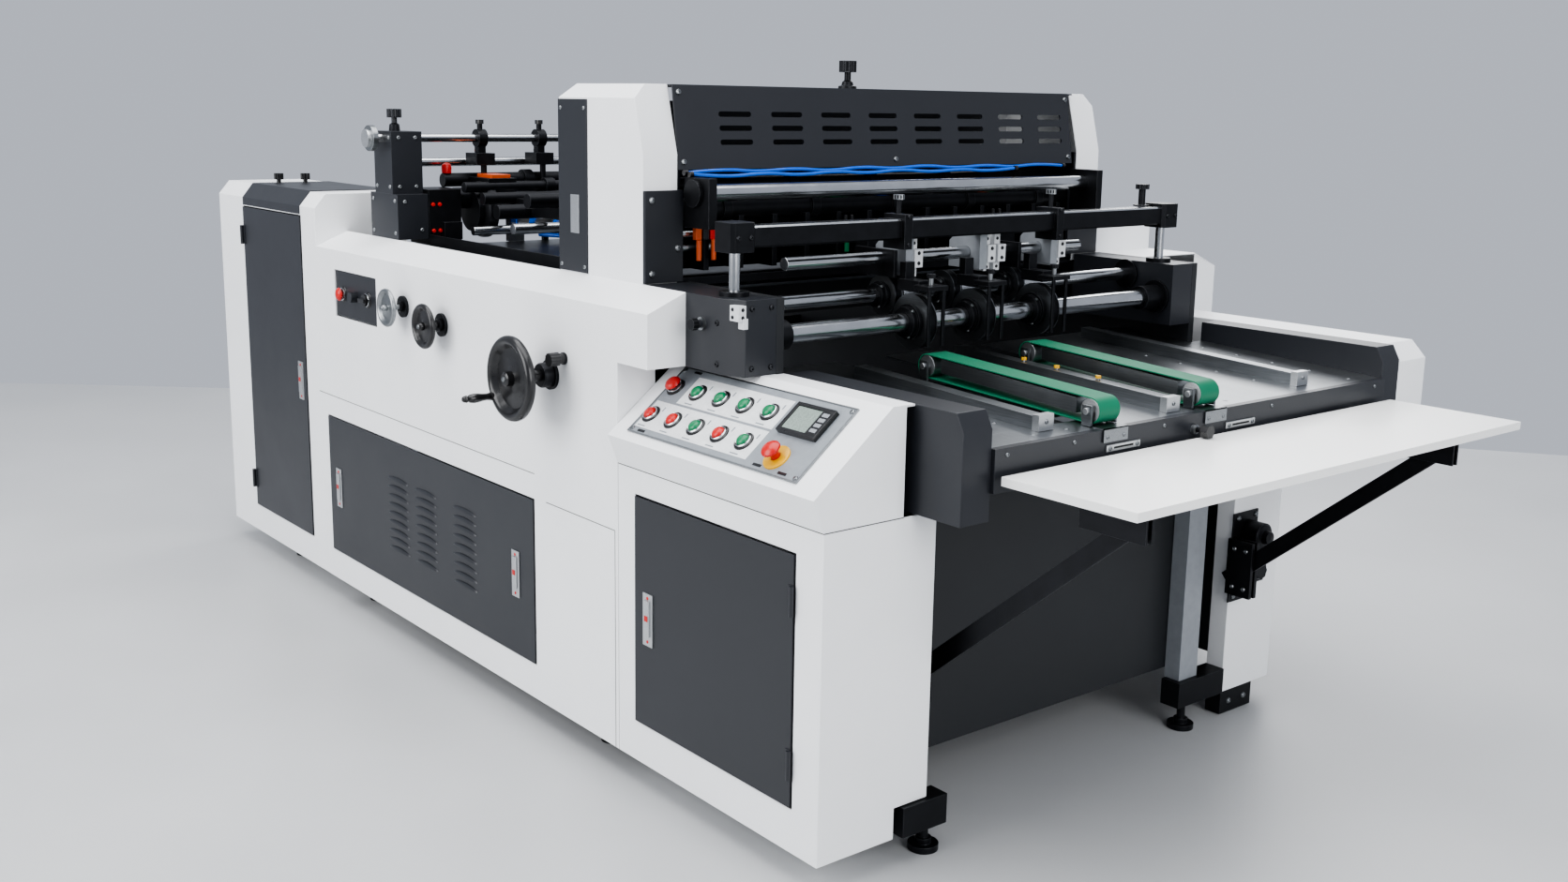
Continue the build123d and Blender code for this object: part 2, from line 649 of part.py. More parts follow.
def delivery_leg():
    """The white leg that carries the far side of the delivery table, open at its back."""
    leg = block((1196, 1246), (1395, 1592), (FLOOR_GAP, 786))
    return [leg - block((1190, 1242), (1399, 1588), (FLOOR_GAP - 3, 782))]


def stay_bar(y, tail):
    """A flat bar from inside its clamp to the edge of the board."""
    dx, dz = cos(radians(STAY_ANGLE)), sin(radians(STAY_ANGLE))
    half = 19
    ends = [(reach, side) for reach, side in ((-tail, 1), (STAY_REACH, 1), (STAY_REACH, -1), (-tail, -1))]
    outline = [(STAY_FOOT[0] + reach * dx - side * half * dz, STAY_FOOT[1] + reach * dz + side * half * dx)
               for reach, side in ends]
    return across(outline, y)


def board_stays():
    return [stay_bar(y, tail) for y, tail in zip(STAYS, STAY_TAILS)]


def clamp_ears(y, x, z):
    """Two ears that guide a stay between them."""
    return [block(x, (y[0] - 10.5, y[0] - 0.5), z), block(x, (y[1] + 0.5, y[1] + 10.5), z)]


def stay_clamps():
    """Guides on the frame at the near side and on the leg at the far side."""
    near, far = STAYS
    solids = clamp_ears(near, (1191, 1258), (290, 410)) + clamp_ears(far, (1250, 1320), (330, 470))
    solids.append(block((1246, 1250), (far[1] + 0.5, 1490), (300, 527)))
    return solids


def fold_board():
    """The drop-leaf board with its hinge leaves and the cheeks for the stays."""
    (x0, x1), (z0, z1) = BOARD
    solids = [block((x0, x1), (NEAR_RAIL[1], FAR_RAIL[0]), (z0, z1))]
    for y in (420, 1420):
        for start in (y - 46, y + 92):
            barrel = cross_rod(*BOARD_HINGE, (start, start + 44), 5)
            solids.append(barrel + block((BOARD_HINGE[0], x0), (start, start + 44), (808, 812)))
    for y0, y1 in STAYS:
        for y in ((y0 - 6.5, y0 - 1.5), (y1 + 1.5, y1 + 6.5)):
            solids.append(block((1640, 1790), y, (756, z0)))
    return solids


def feed_deck():
    """The steel feed table from the feeder to the tooling."""
    return [block((-640, 586), (PANEL_IN, 1842), (DECK - 6, DECK))]


def feeder_pillars():
    """Lower boxes and pillars that carry the feeder bar, and the bar with its end caps."""
    x, z, radius = FEEDER_BAR
    solids = []
    for y in ((PANEL_IN, 190), (1510, 1602)):
        solids.append(block((-817, -641), y, (BODY_TOP, 1230)))
        pillar = block((-784, -670), y, (1230, 1403)) - cross_rod(x, z, (y[0] - 1, y[1] + 1), radius)
        solids.append(pillar)
        middle = (y[0] + y[1]) / 2
        solids.append(rod((-745, middle, 1403), (-745, middle, 1442), 8)
                      + rod((-745, middle, 1442), (-745, middle, 1462), 19))
    solids.append(cross_rod(x, z, (70, 1630), radius))
    solids.append(cross_rod(x, z, (46, 70), 25))
    solids.append(cross_rod(x, z, (1630, 1654), 25))
    return solids


def feeder_head():
    """Suction heads on hangers, the black blower bar below and the air cylinder."""
    x, z, radius = FEEDER_BAR
    solids = []
    for y in (402, 599, 850, 1101, 1298):
        clamp = cross_rod(x, z, (y - 14, y + 14), 26, radius)
        solids.append(clamp + rod((x, y, z + 20), (x, y, z + 44), 8))
        solids.append(block((x - 12, x + 12), (y - 12, y + 12), (1340, 1360))
                      + block((x - 34, x + 34), (y - 30, y + 30), (1306, 1340)))
        foot = rod((x + 20, y, 1132), (x + 20, y, 1150), 16)
        solids.append(foot + rod((x + 20, y, 1150), (x + 20, y, 1306), 9))
    solids.append(cross_rod(x - 60, 1312, (190, 1510), 13))
    cylinder = rod((-640, 470, 1150), (-380, 470, 1150), 17)
    solids.append(cylinder + rod((-380, 470, 1150), (-300, 470, 1150), 7))
    solids.append(block((-660, -640), (445, 495), (DECK, 1180)))
    solids.append(rod((-660, 330, 1180), (-660, 352, 1180), 60))
    return solids


HOSE_RADIUS = 4
HOSES = [
    [(604, 206, 1345), (606, 300, 1352), (603, 400, 1344), (607, 505, 1351), (604, 610, 1343),
     (607, 715, 1352), (603, 820, 1345), (606, 925, 1353), (604, 1030, 1344), (607, 1135, 1351),
     (603, 1240, 1344), (606, 1340, 1352), (604, 1430, 1346)],
    [(618, 210, 1342), (615, 305, 1334), (619, 410, 1343), (615, 515, 1335), (618, 620, 1344),
     (614, 725, 1336), (618, 830, 1345), (615, 935, 1336), (619, 1040, 1343), (616, 1140, 1335),
     (618, 1230, 1342)],
]


def hose(points):
    """A pneumatic hose as straight runs joined by the largest arcs that its runs allow."""
    radii = []
    for before, here, after in zip(points, points[1:], points[2:]):
        incoming, outgoing = Vector(*here) - Vector(*before), Vector(*after) - Vector(*here)
        half_turn = radians(incoming.get_angle(outgoing)) / 2
        shorter = min(incoming.length, outgoing.length)
        radii.append(0.45 * shorter * cos(half_turn) / sin(half_turn))
    path = FilletPolyline(*points, radius=radii)
    return sweep(Plane(origin=path @ 0, z_dir=path % 0) * Circle(HOSE_RADIUS), path=path)


def air_hoses():
    return [hose(points) for points in HOSES]


def pile_guides():
    """Lifting screws of the feeder's pile table, inside the columns."""
    solids = []
    for x in (-1650, -1120):
        for y in (320, 1622):
            solids.append(rod((x, y, 130), (x, y, 1180), 16))
            wall = (COLUMN_DEPTH, y + 24) if y < MIDDLE else (y - 24, WIDTH - COLUMN_DEPTH)
            solids += [block((x - 30, x + 30), wall, (z, z + 30)) for z in (100, 1180)]
    return solids


def pile_table():
    """The lift table that carries the stack of sheets."""
    table = block((-1740, -1020), (360, 1582), (300, 340))
    for x in (-1650, -1120):
        for y in ((302, 360), (1582, 1640)):
            table += block((x - 30, x + 30), y, (300, 340))
            middle = 320 if y[0] < MIDDLE else 1622
            table -= rod((x, middle, 290), (x, middle, 350), 17)
    return [table]


def drive_motor():
    """Main motor with its gearbox, and the vacuum pump, on the frame's cross members."""
    motor = rod((700, 700, 330), (700, 1050, 330), 95) + block((640, 760), (1050, 1210), (230, 430))
    pump = block((-80, -20), (700, 1000), (230, 260)) + rod((-50, 720, 350), (-50, 980, 350), 92)
    return [motor, pump]


NODES = {
    "base_frame": body_frame(),
    "levelling_feet": levelling_feet(),
    "operator_side_panel": operator_side_panel(),
    "column_covers": column_covers(),
    "column_door": column_door(),
    "access_panel": access_panel(),
    "console_cabinet": console_cabinet(),
    "console_head": console_head(),
    "cabinet_door": cabinet_door(),
    "control_plate": control_plate(),
    "button_bezels": button_bezels(),
    "emergency_stop": emergency_stop(),
    "display_unit": display_unit(),
    "feeder_panel": feeder_panel(),
    "feeder_stop": feeder_stop(),
    "feeder_selector": feeder_selector(),
    "panel_fittings": panel_fittings(),
    "feed_handwheel": handwheel("feed_handwheel"),
    "register_handwheel": handwheel("register_handwheel"),
    "main_handwheel": main_handwheel(),
    "crank_grip": crank_grip(),
    "clamp_knob": clamp_knob(),
    "tower_covers": tower_covers(),
    "tower_guards": tower_guards(),
    "slotted_guard": slotted_guard(),
    "bearing_blocks": bearing_blocks(),
    "main_shaft": main_shaft(),
    "counter_shaft": counter_shaft(),
    "tie_bars": tie_bars(),
    "knife_holders": knife_holders(),
    "crossbeam": crossbeam(),
    "delivery_deck": delivery_deck(),
    "delivery_belts": delivery_belts(),
    "sheet_guides": sheet_guides() + belt_carriers(),
    "front_rollers": belt_rollers(FRONT_ROLLER),
    "rear_rollers": belt_rollers(REAR_ROLLER),
    "front_rail": front_rail(),
    "rail_covers": rail_covers(),
    "drive_side_covers": drive_side_covers(),
    "delivery_leg": delivery_leg(),
    "stay_clamps": stay_clamps(),
    "board_stays": board_stays(),
    "fold_board": fold_board(),
    "feed_deck": feed_deck(),
    "feeder_pillars": feeder_pillars(),
    "feeder_head": feeder_head(),
    "air_hoses": air_hoses(),
    "pile_guides": pile_guides(),
    "pile_table": pile_table(),
    "drive_motor": drive_motor(),
}
for number, place in enumerate(button_places(), start=1):
    NODES[f"push_button_{number}"] = button(*place)


os.makedirs("parts", exist_ok=True)
for name, solids in NODES.items():
    node = Compound(label=name, children=[Pos(0, -CENTRE_Y, 0) * solid for solid in solids])
    export_step(node, f"parts/{name}.step")
print(len(NODES), "nodes,", sum(len(solids) for solids in NODES.values()), "solids")
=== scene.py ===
"""A sheet-fed creasing and perforating machine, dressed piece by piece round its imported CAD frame."""

import itertools
import json
import math

import bmesh
import bpy
from mathutils import Matrix, Vector


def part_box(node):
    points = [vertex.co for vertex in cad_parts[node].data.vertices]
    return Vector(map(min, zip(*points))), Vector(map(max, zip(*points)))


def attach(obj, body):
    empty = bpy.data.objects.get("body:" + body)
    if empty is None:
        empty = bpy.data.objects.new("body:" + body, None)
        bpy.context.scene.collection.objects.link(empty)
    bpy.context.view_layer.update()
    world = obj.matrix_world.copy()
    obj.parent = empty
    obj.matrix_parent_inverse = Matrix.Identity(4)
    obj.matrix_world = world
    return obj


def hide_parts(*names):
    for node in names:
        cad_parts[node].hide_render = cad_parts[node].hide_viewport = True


bl_info = {
    "name": "Sheet creasing machine",
    "version": (1, 0, 0),
    "blender": (4, 5, 0),
    "location": "View3D > Sidebar > Machine",
    "description": "Builds a sheet-fed creasing and perforating machine round its CAD frame",
    "category": "Object",
}

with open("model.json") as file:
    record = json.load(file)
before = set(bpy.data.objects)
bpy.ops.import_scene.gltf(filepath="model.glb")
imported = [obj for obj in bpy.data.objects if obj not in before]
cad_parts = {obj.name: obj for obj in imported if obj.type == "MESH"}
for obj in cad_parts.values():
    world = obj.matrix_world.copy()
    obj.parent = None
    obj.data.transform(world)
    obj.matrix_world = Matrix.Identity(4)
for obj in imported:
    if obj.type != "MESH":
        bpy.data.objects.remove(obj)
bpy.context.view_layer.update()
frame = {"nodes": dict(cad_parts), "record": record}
PANEL_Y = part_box("operator_side_panel")[0].y
MM = 0.001
BODY_OF = {node: body for body, nodes in frame["record"]["behaviour"]["bodies"].items() for node in nodes}

NOSE = (-26, 792)             # front edge of the sloping console: distance behind the panel, height
BROW = (164, 945)             # its back edge
WIDTH = 1942                  # operator's panel to drive-side panel
PANEL_IN = 98                 # width of the sloping top of a side panel
TOWER_TOP = 1535
DECK = 1086                   # top of the feed table
OUT = (0, -1, 0)              # towards the operator
ALONG = (1, 0, 0)             # towards the delivery end
UP = (0, 0, 1)


# ---------------------------------------------------------------- colours and sizes


def linear(colour):
    """An sRGB hex colour as linear red, green, blue and alpha."""
    parts = [int(colour[i:i + 2], 16) / 255 for i in (1, 3, 5)]
    return [c / 12.92 if c <= 0.04045 else ((c + 0.055) / 1.055) ** 2.4 for c in parts] + [1.0]


def colour_setting(name, description, colour):
    return bpy.props.FloatVectorProperty(
        name=name, description=description, default=linear(colour), size=4, min=0, max=1, subtype="COLOR")


def length_setting(name, description, default):
    return bpy.props.FloatProperty(
        name=name, description=description, default=default * MM, min=0, subtype="DISTANCE", unit="LENGTH")


class MachineColours(bpy.types.PropertyGroup):
    """Colours that a user would change."""

    casing: colour_setting("Casing", "Powder coat of the outer covers", "#F1F2F3")
    panel: colour_setting("Panel", "Powder coat of doors, rails and guards", "#212328")
    frame: colour_setting("Frame", "Paint of the frame inside the covers", "#1C1E21")
    belt: colour_setting("Belt", "Delivery belts", "#046A4C")
    hose: colour_setting("Hose", "Air hoses", "#0A5FCB")
    board: colour_setting("Board", "Laminate of the fold-down board", "#F1F1EF")
    red: colour_setting("Red", "Stop buttons", "#C0140E")
    green: colour_setting("Green", "Run buttons", "#03764A")
    yellow: colour_setting("Yellow", "Collar of the emergency stop", "#D9A406")
    plate: colour_setting("Control plate", "Ground colour of the control plate", "#858A8F")


class MachineSizes(bpy.types.PropertyGroup):
    """Sizes that a user would change."""

    fold: length_setting("Fold radius", "Outside radius of the folded sheet edges", 2.0)
    edge: length_setting("Edge break", "Rounding of machined edges", 0.8)
    louvre: length_setting("Louvre length", "Length of one pressed louvre", 128)
    rise: length_setting("Louvre rise", "How far a louvre stands out", 6)
    screw: length_setting("Screw head", "Radius of a button-head screw", 5.5)
    hose: length_setting("Hose", "Outside diameter of the air hoses", 8)


def colours():
    return bpy.context.scene.machine_colours


def sizes():
    return bpy.context.scene.machine_sizes


# ---------------------------------------------------------------- materials


def add_node(material, kind, inputs=(), **settings):
    """Adds a node: settings are its properties, and inputs pairs a socket with a value or a link."""
    node = material.node_tree.nodes.new(kind)
    for key, value in settings.items():
        setattr(node, key, value)
    for socket, value in inputs:
        if isinstance(value, bpy.types.NodeSocket):
            material.node_tree.links.new(value, node.inputs[socket])
        else:
            node.inputs[socket].default_value = value
    return node


def new_material(name, colour, **shader):
    """A material with its Principled shader's uniform values set on the shader's own sockets."""
    material = bpy.data.materials.new(name)
    material.use_nodes = True
    sockets = material.node_tree.nodes["Principled BSDF"].inputs
    sockets["Base Color"].default_value = colour
    for key, value in shader.items():
        sockets[key.replace("_", " ").title()].default_value = value
    return material


def position(material, stretch=(1, 1, 1)):
    """Object coordinates, which are metres on the machine, stretched for grain."""
    where = add_node(material, "ShaderNodeTexCoord").outputs["Object"]
    inputs = [("Vector", where), ("Scale", stretch)]
    return add_node(material, "ShaderNodeMapping", inputs).outputs["Vector"]


def noise(material, size, stretch=(1, 1, 1), detail=3.0, roughness=0.5):
    """Noise whose features are size millimetres wide."""
    inputs = [("Vector", position(material, stretch)), ("Scale", 1000 / size), ("Detail", detail),
              ("Roughness", roughness)]
    return add_node(material, "ShaderNodeTexNoise", inputs).outputs["Fac"]


def between(material, factor, low, high):
    """Maps a 0 to 1 factor to a range."""
    inputs = [("Value", factor), ("To Min", low), ("To Max", high)]
    return add_node(material, "ShaderNodeMapRange", inputs).outputs[0]


def blend_colours(material, factor, first, second):
    """Mixes two colours, which are the mix node's sockets 6 and 7 and its output 2."""
    inputs = [("Factor", factor), (6, first), (7, second)]
    return add_node(material, "ShaderNodeMix", inputs, data_type="RGBA").outputs[2]


def scaled(colour, factor):
    return [min(1, c * factor) for c in colour[:3]] + [1.0]


def plug(material, socket, output):
    material.node_tree.links.new(output, material.node_tree.nodes["Principled BSDF"].inputs[socket])


def shade(material, rough, tint):
    """Roughness as a factor, low and high, and colour as a factor and the two colours it blends."""
    plug(material, "Roughness", between(material, *rough))
    plug(material, "Base Color", blend_colours(material, *tint))


def relief(material, height, depth, strength=1.0):
    """Bump of a given depth in millimetres."""
    inputs = [("Height", height), ("Distance", depth * MM), ("Strength", strength)]
    plug(material, "Normal", add_node(material, "ShaderNodeBump", inputs).outputs["Normal"])


def edge_mask(material, radius):
    """One along worn edges and zero on flat faces, from the angle between the true and the rounded normal."""
    soft = add_node(material, "ShaderNodeBevel", [("Radius", radius * MM)], samples=4).outputs["Normal"]
    true = add_node(material, "ShaderNodeNewGeometry").outputs["True Normal"]
    dot = add_node(material, "ShaderNodeVectorMath", [(0, soft), (1, true)], operation="DOT_PRODUCT")
    inputs = [("Value", dot.outputs["Value"]), ("From Min", 0.98), ("From Max", 0.75)]
    return add_node(material, "ShaderNodeMapRange", inputs).outputs[0]


def powder_coat(name, colour, gloss=0.42):
    """Satin powder coat, sprayed and baked: slight orange peel, faint handling marks, rubbed edges."""
    material = new_material(name, colour, coat_weight=0.05, coat_roughness=0.4)
    # Real orange peel is 1 to 2 mm wide; it is drawn 5 mm wide so that it shows.
    relief(material, noise(material, 5, detail=1), 0.05, 0.35)
    handled = noise(material, 220, detail=6, roughness=0.6)
    tint = blend_colours(material, handled, scaled(colour, 0.95), scaled(colour, 1.03))
    rubbed = scaled(colour, 1.25 if colour[0] < 0.5 else 0.9)
    shade(material, (handled, gloss - 0.08, gloss + 0.08), (edge_mask(material, 2.5), tint, rubbed))
    return material


def black_oxide(name="black_oxide_steel"):
    """Blackened steel under oil: deep grey with cloudy sheen and bright rubbed corners."""
    dark = linear("#1C1D20")
    material = new_material(name, dark, metallic=0.75)
    cloudy = noise(material, 35, detail=5, roughness=0.65)
    tint = blend_colours(material, cloudy, scaled(dark, 0.7), scaled(dark, 1.6))
    shade(material, (cloudy, 0.3, 0.52), (edge_mask(material, 1.5), tint, linear("#6A6C70")))
    # Milling marks are 0.3 mm apart; they are drawn 3 mm apart so that they show.
    relief(material, noise(material, 3, (1, 0.15, 1), 2), 0.03, 0.4)
    return material


def ground_chrome(name="ground_chromed_steel"):
    """Chromed round bar, ground across its axis: bright with fine rings and an uneven oil film."""
    material = new_material(name, linear("#C9CBCD"), metallic=1.0)
    film = noise(material, 60, (1, 0.6, 1), 4)
    shade(material, (film, 0.1, 0.26), (film, linear("#B4B6B9"), linear("#DADCDD")))
    # Grinding rings are under 0.1 mm apart; they are drawn 2 mm apart so that they show.
    relief(material, noise(material, 2, (0.05, 1, 0.05), 2), 0.01, 0.5)
    return material


def brushed_steel(name="brushed_stainless_sheet", stretch=(0.04, 1, 1), tone="#85888B"):
    """Brushed stainless sheet: long grain, soft reflections, scuffs from passing sheets."""
    metal = linear(tone)
    material = new_material(name, metal, metallic=1.0)
    # Grain lines are 0.2 mm apart; they are drawn 2.5 mm apart so that they show.
    grain = noise(material, 2.5, stretch, 3, 0.6)
    scuffs = noise(material, 120, detail=6, roughness=0.7)
    shade(material, (scuffs, 0.24, 0.42), (grain, scaled(metal, 0.75), scaled(metal, 1.35)))
    relief(material, grain, 0.02, 0.5)
    return material


def anodised(name="clear_anodised_aluminium"):
    """Clear anodised aluminium, bead blasted: pale, even, fine grained."""
    metal = linear("#C3C5C7")
    material = new_material(name, metal, metallic=1.0)
    # Blasted grit is 0.1 mm; it is drawn 3 mm wide so that it shows.
    grit = noise(material, 3, detail=2)
    sheen = noise(material, 40, detail=4)
    shade(material, (sheen, 0.28, 0.42), (grit, scaled(metal, 0.92), linear("#D5D7D8")))
    relief(material, grit, 0.02, 0.4)
    return material


def cast_paint(name, colour):
    """Smooth machine paint over a casting: semi-matt, with the casting's gentle unevenness."""
    material = new_material(name, colour)
    uneven = noise(material, 18, detail=4)
    tint = blend_colours(material, uneven, scaled(colour, 0.85), scaled(colour, 1.15))
    shade(material, (uneven, 0.36, 0.55), (edge_mask(material, 1.5), tint, scaled(colour, 1.5)))
    relief(material, uneven, 0.2, 0.3)
    return material


def moulded(name, colour, low=0.22, high=0.38, coat=0.25):
    """Moulded plastic, as used for grips and buttons: smooth skin with faint flow marks."""
    material = new_material(name, colour, coat_weight=coat, coat_roughness=0.12)
    flow = noise(material, 12, detail=3)
    shade(material, (flow, low, high), (flow, scaled(colour, 0.85), scaled(colour, 1.12)))
    relief(material, flow, 0.01, 0.12)
    return material


def belt_rubber(name="coated_belt_fabric"):
    """Polyurethane-coated belt fabric: satin green, with the weave just showing through."""
    green = list(colours().belt)
    material = new_material(name, green)
    # Weave threads are 0.6 mm apart; they are drawn 3 mm apart so that they show.
    inputs = [("Vector", position(material)), ("Scale", 1000 / 18)]
    weave = [add_node(material, "ShaderNodeTexWave", inputs, bands_direction=axis).outputs["Fac"]
             for axis in "XY"]
    cloth = add_node(material, "ShaderNodeMath", enumerate(weave), operation="MULTIPLY").outputs[0]
    scuffs = noise(material, 70, detail=4)
    worn = noise(material, 160, (0.2, 1, 1), 4)
    shade(material, (scuffs, 0.5, 0.68), (worn, scaled(green, 0.8), scaled(green, 1.15)))
    relief(material, cloth, 0.08, 0.4)
    return material


def laminate(name="white_laminate_board"):
    """Melamine-faced board: white, fine pearl texture, soft gloss."""
    white = list(colours().board)
    material = new_material(name, white, coat_weight=0.2, coat_roughness=0.25)
    # Pearl texture is 0.5 mm; it is drawn 4 mm wide so that it shows.
    pearl = noise(material, 4, detail=2)
    handled = noise(material, 150, detail=5)
    shade(material, (handled, 0.28, 0.42), (pearl, scaled(white, 0.96), white))
    relief(material, pearl, 0.03, 0.3)
    return material


def display_glass(name="display_window"):
    """The display's window: grey-green liquid crystal cells behind glossy glass."""
    material = new_material(name, linear("#8D9A92"), coat_weight=1.0, coat_roughness=0.05)
    # Cells are 0.3 mm apart; they are drawn 4 mm apart so that they show.
    cells = add_node(material, "ShaderNodeTexBrick", [
        ("Vector", position(material)), ("Scale", 1000 / 8), ("Mortar Size", 0.04),
        ("Color1", linear("#9AA79E")), ("Color2", linear("#8B988F")), ("Mortar", linear("#6E7A74"))])
    plug(material, "Base Color", cells.outputs["Color"])
    plug(material, "Roughness", between(material, noise(material, 30), 0.1, 0.25))
    return material


FINISHES = {}


def make_finishes():
    """Every finish on the machine, by the name that the pieces use."""
    c = colours()
    FINISHES.update({
        "casing": powder_coat("white_powder_coat", list(c.casing)),
        "panel": powder_coat("charcoal_powder_coat", list(c.panel), 0.38),
        "frame": powder_coat("frame_machine_paint", list(c.frame), 0.5),
        "black": black_oxide(),
        "chrome": ground_chrome(),
        "steel": brushed_steel(),
        "zinc": brushed_steel("zinc_plated_steel", (1, 0.2, 0.2), "#8C8F91"),
        "table": brushed_steel("worn_feed_table_steel", (0.04, 1, 1), "#5C5F63"),
        "aluminium": anodised(),
        # Real rubber, and also the dark faces of painted shade in louvre openings, plate slots and the gaps
        # between sheets.
        "dark_rubber_and_shade": moulded("nitrile_rubber_and_shade", linear("#151516"), 0.6, 0.8, 0.0),
        "grey": cast_paint("grey_machine_paint", linear("#8A8E93")),
        "plate": cast_paint("printed_control_plate", list(c.plate)),
        "label": moulded("white_label_film", linear("#DDDFE0"), 0.35, 0.5, 0.1),
        "black_plastic": moulded("black_phenolic", linear("#131315")),
        "red": moulded("red_acrylic", list(c.red), 0.26, 0.36, 0.12),
        "green": moulded("green_acrylic", list(c.green), 0.26, 0.36, 0.12),
        "yellow": moulded("yellow_nylon", list(c.yellow), 0.3, 0.45, 0.2),
        "clamp": moulded("white_nylon_clamp", linear("#D4D6D8"), 0.35, 0.5, 0.1),
        "hose": moulded("polyurethane_hose", list(c.hose), 0.15, 0.3, 0.4),
        "orange": moulded("orange_nylon", linear("#C8501A"), 0.3, 0.45, 0.2),
        "belt": belt_rubber(),
        "board": laminate(),
        "glass": display_glass(),
    })


# ---------------------------------------------------------------- shaping


def at(x, y, z):
    """A point on the machine: millimetres from its centre, behind the operator's panel, above the floor."""
    return Vector((x * MM, PANEL_Y + y * MM, z * MM))


def deck_height(x):
    """Height of the delivery deck, which falls 2.6 degrees towards its front edge."""
    return 872 + (1449 - x) * math.sin(math.radians(2.6))


def on_slope(x, up):
    """A frame on the sloping console: its x axis along the machine, y up the slope, z out of it."""
    run, rise = BROW[0] - NOSE[0], BROW[1] - NOSE[1]
    length = math.hypot(run, rise)
    right, upward = Vector((1, 0, 0)), Vector((0, run / length, rise / length))
    outward = right.cross(upward)
    turn = Matrix((right, upward, outward)).transposed().to_4x4()
    return Matrix.Translation(at(x, *NOSE)) @ turn @ Matrix.Translation((0, up * MM, 0))


def turned_to(direction, axis="Z"):
    """A rotation that points an axis in the direction."""
    return Vector(direction).to_track_quat(axis, "Y").to_matrix().to_4x4()


def facing(x, y, z, direction=UP):
    """A frame at a point on the machine whose z axis is the direction."""
    return Matrix.Translation(at(x, y, z)) @ turned_to(direction)


def paint(verts, finish):
    for face in {face for vert in verts for face in vert.link_faces}:
        face.material_index = finish


def add_box(bm, x, y, z, finish=0, place=None):
    """A box between limits in millimetres, on the machine or in a frame of its own."""
    verts = bmesh.ops.create_cube(bm, size=1)["verts"]
    middle = [sum(limits) / 2 for limits in (x, y, z)]
    centre = Vector(middle) * MM if place else at(*middle)
    bmesh.ops.scale(bm, vec=[(high - low) * MM for low, high in (x, y, z)], verts=verts)
    bmesh.ops.translate(bm, vec=centre, verts=verts)
    if place:
        bmesh.ops.transform(bm, matrix=place, verts=verts)
    paint(verts, finish)
    return verts


def add_rod(bm, x, y, z, radius, finish=0, segments=24):
    """A round bar on the machine: x, y and z are each one place, or a start and an end."""
    ends = [place if isinstance(place, tuple) else (place, place) for place in (x, y, z)]
    start, end = at(*[pair[0] for pair in ends]), at(*[pair[1] for pair in ends])
    verts = bmesh.ops.create_cone(
        bm, cap_ends=True, segments=segments, radius1=radius * MM, radius2=radius * MM,
        depth=(end - start).length,
        matrix=Matrix.Translation((start + end) / 2) @ turned_to(end - start))["verts"]
    paint(verts, finish)
    return verts


def add_rollers(bm, rollers, ends, collars, half_width, step):
    """Rollers across the machine, each by place, height, radius and finish, with black collars on them."""
    for x, z, radius, finish in rollers:
        add_rod(bm, x, ends, z, radius, finish)
        for y in collars:
            add_rod(bm, x, (y - half_width, y + half_width), z, radius + step)


def add_border(bm, outer, inner, z, finish, place):
    """The four sides between an outer and an inner rectangle, each given by its limits."""
    (left, right), (bottom, top) = outer
    for x, y in ((outer[0], (inner[1][1], top)), (outer[0], (bottom, inner[1][0])),
                 ((left, inner[0][0]), inner[1]), ((inner[0][1], right), inner[1])):
        add_box(bm, x, y, z, finish, place)


def add_turned(bm, place, profile, finish=0, steps=32):
    """A turned shape: a profile of radius and height in millimetres, spun about the frame's z axis."""
    verts = [bm.verts.new(place @ Vector((radius * MM, 0, height * MM))) for radius, height in profile]
    edges = [bm.edges.new(pair) for pair in zip(verts, verts[1:])]
    made = bmesh.ops.spin(
        bm, geom=verts + edges, cent=place.translation, axis=place.to_3x3() @ Vector((0, 0, 1)),
        angle=2 * math.pi, steps=steps, use_merge=True)
    faces = {face for vert in verts for face in vert.link_faces}
    faces |= {item for item in made["geom_last"] if isinstance(item, bmesh.types.BMFace)}
    grown = True
    while grown:
        near = {other for face in faces for edge in face.edges for other in edge.link_faces} - faces
        faces |= near
        grown = bool(near)
    for face in faces:
        face.material_index = finish
    return list({vert for face in faces for vert in face.verts})


def add_screw(bm, point, direction, radius=None, finish=0):
    """A button-head screw with its socket."""
    r = radius or sizes().screw / MM
    profile = [(0.01, 0.25 * r), (0.42 * r, 0.25 * r), (0.42 * r, 0.6 * r), (0.75 * r, 0.52 * r),
               (r, 0.12 * r), (r, -0.1 * r)]
    return add_turned(bm, facing(*point, direction), profile, finish, steps=12)


def add_screws(bm, x, y, z, direction, radius=None, finish=0):
    """Screws wherever x, y and z meet, each of them one place or several."""
    places = [place if isinstance(place, tuple) else (place,) for place in (x, y, z)]
    for point in itertools.product(*places):
        add_screw(bm, point, direction, radius, finish)


def add_knob(bm, place, radius, height, ridges=12, finish=0):
    """A ridged clamping knob that stands on the frame's x-y plane."""
    verts = bmesh.ops.create_cone(
        bm, cap_ends=True, segments=2 * ridges, radius1=radius * MM, radius2=radius * MM,
        depth=height * MM)["verts"]
    for vert in verts:
        if round(math.atan2(vert.co.y, vert.co.x) / math.pi * ridges) % 2:
            vert.co.x *= 0.88
            vert.co.y *= 0.88
    bmesh.ops.transform(bm, matrix=place @ Matrix.Translation((0, 0, height / 2 * MM)), verts=verts)
    paint(verts, finish)
    return verts


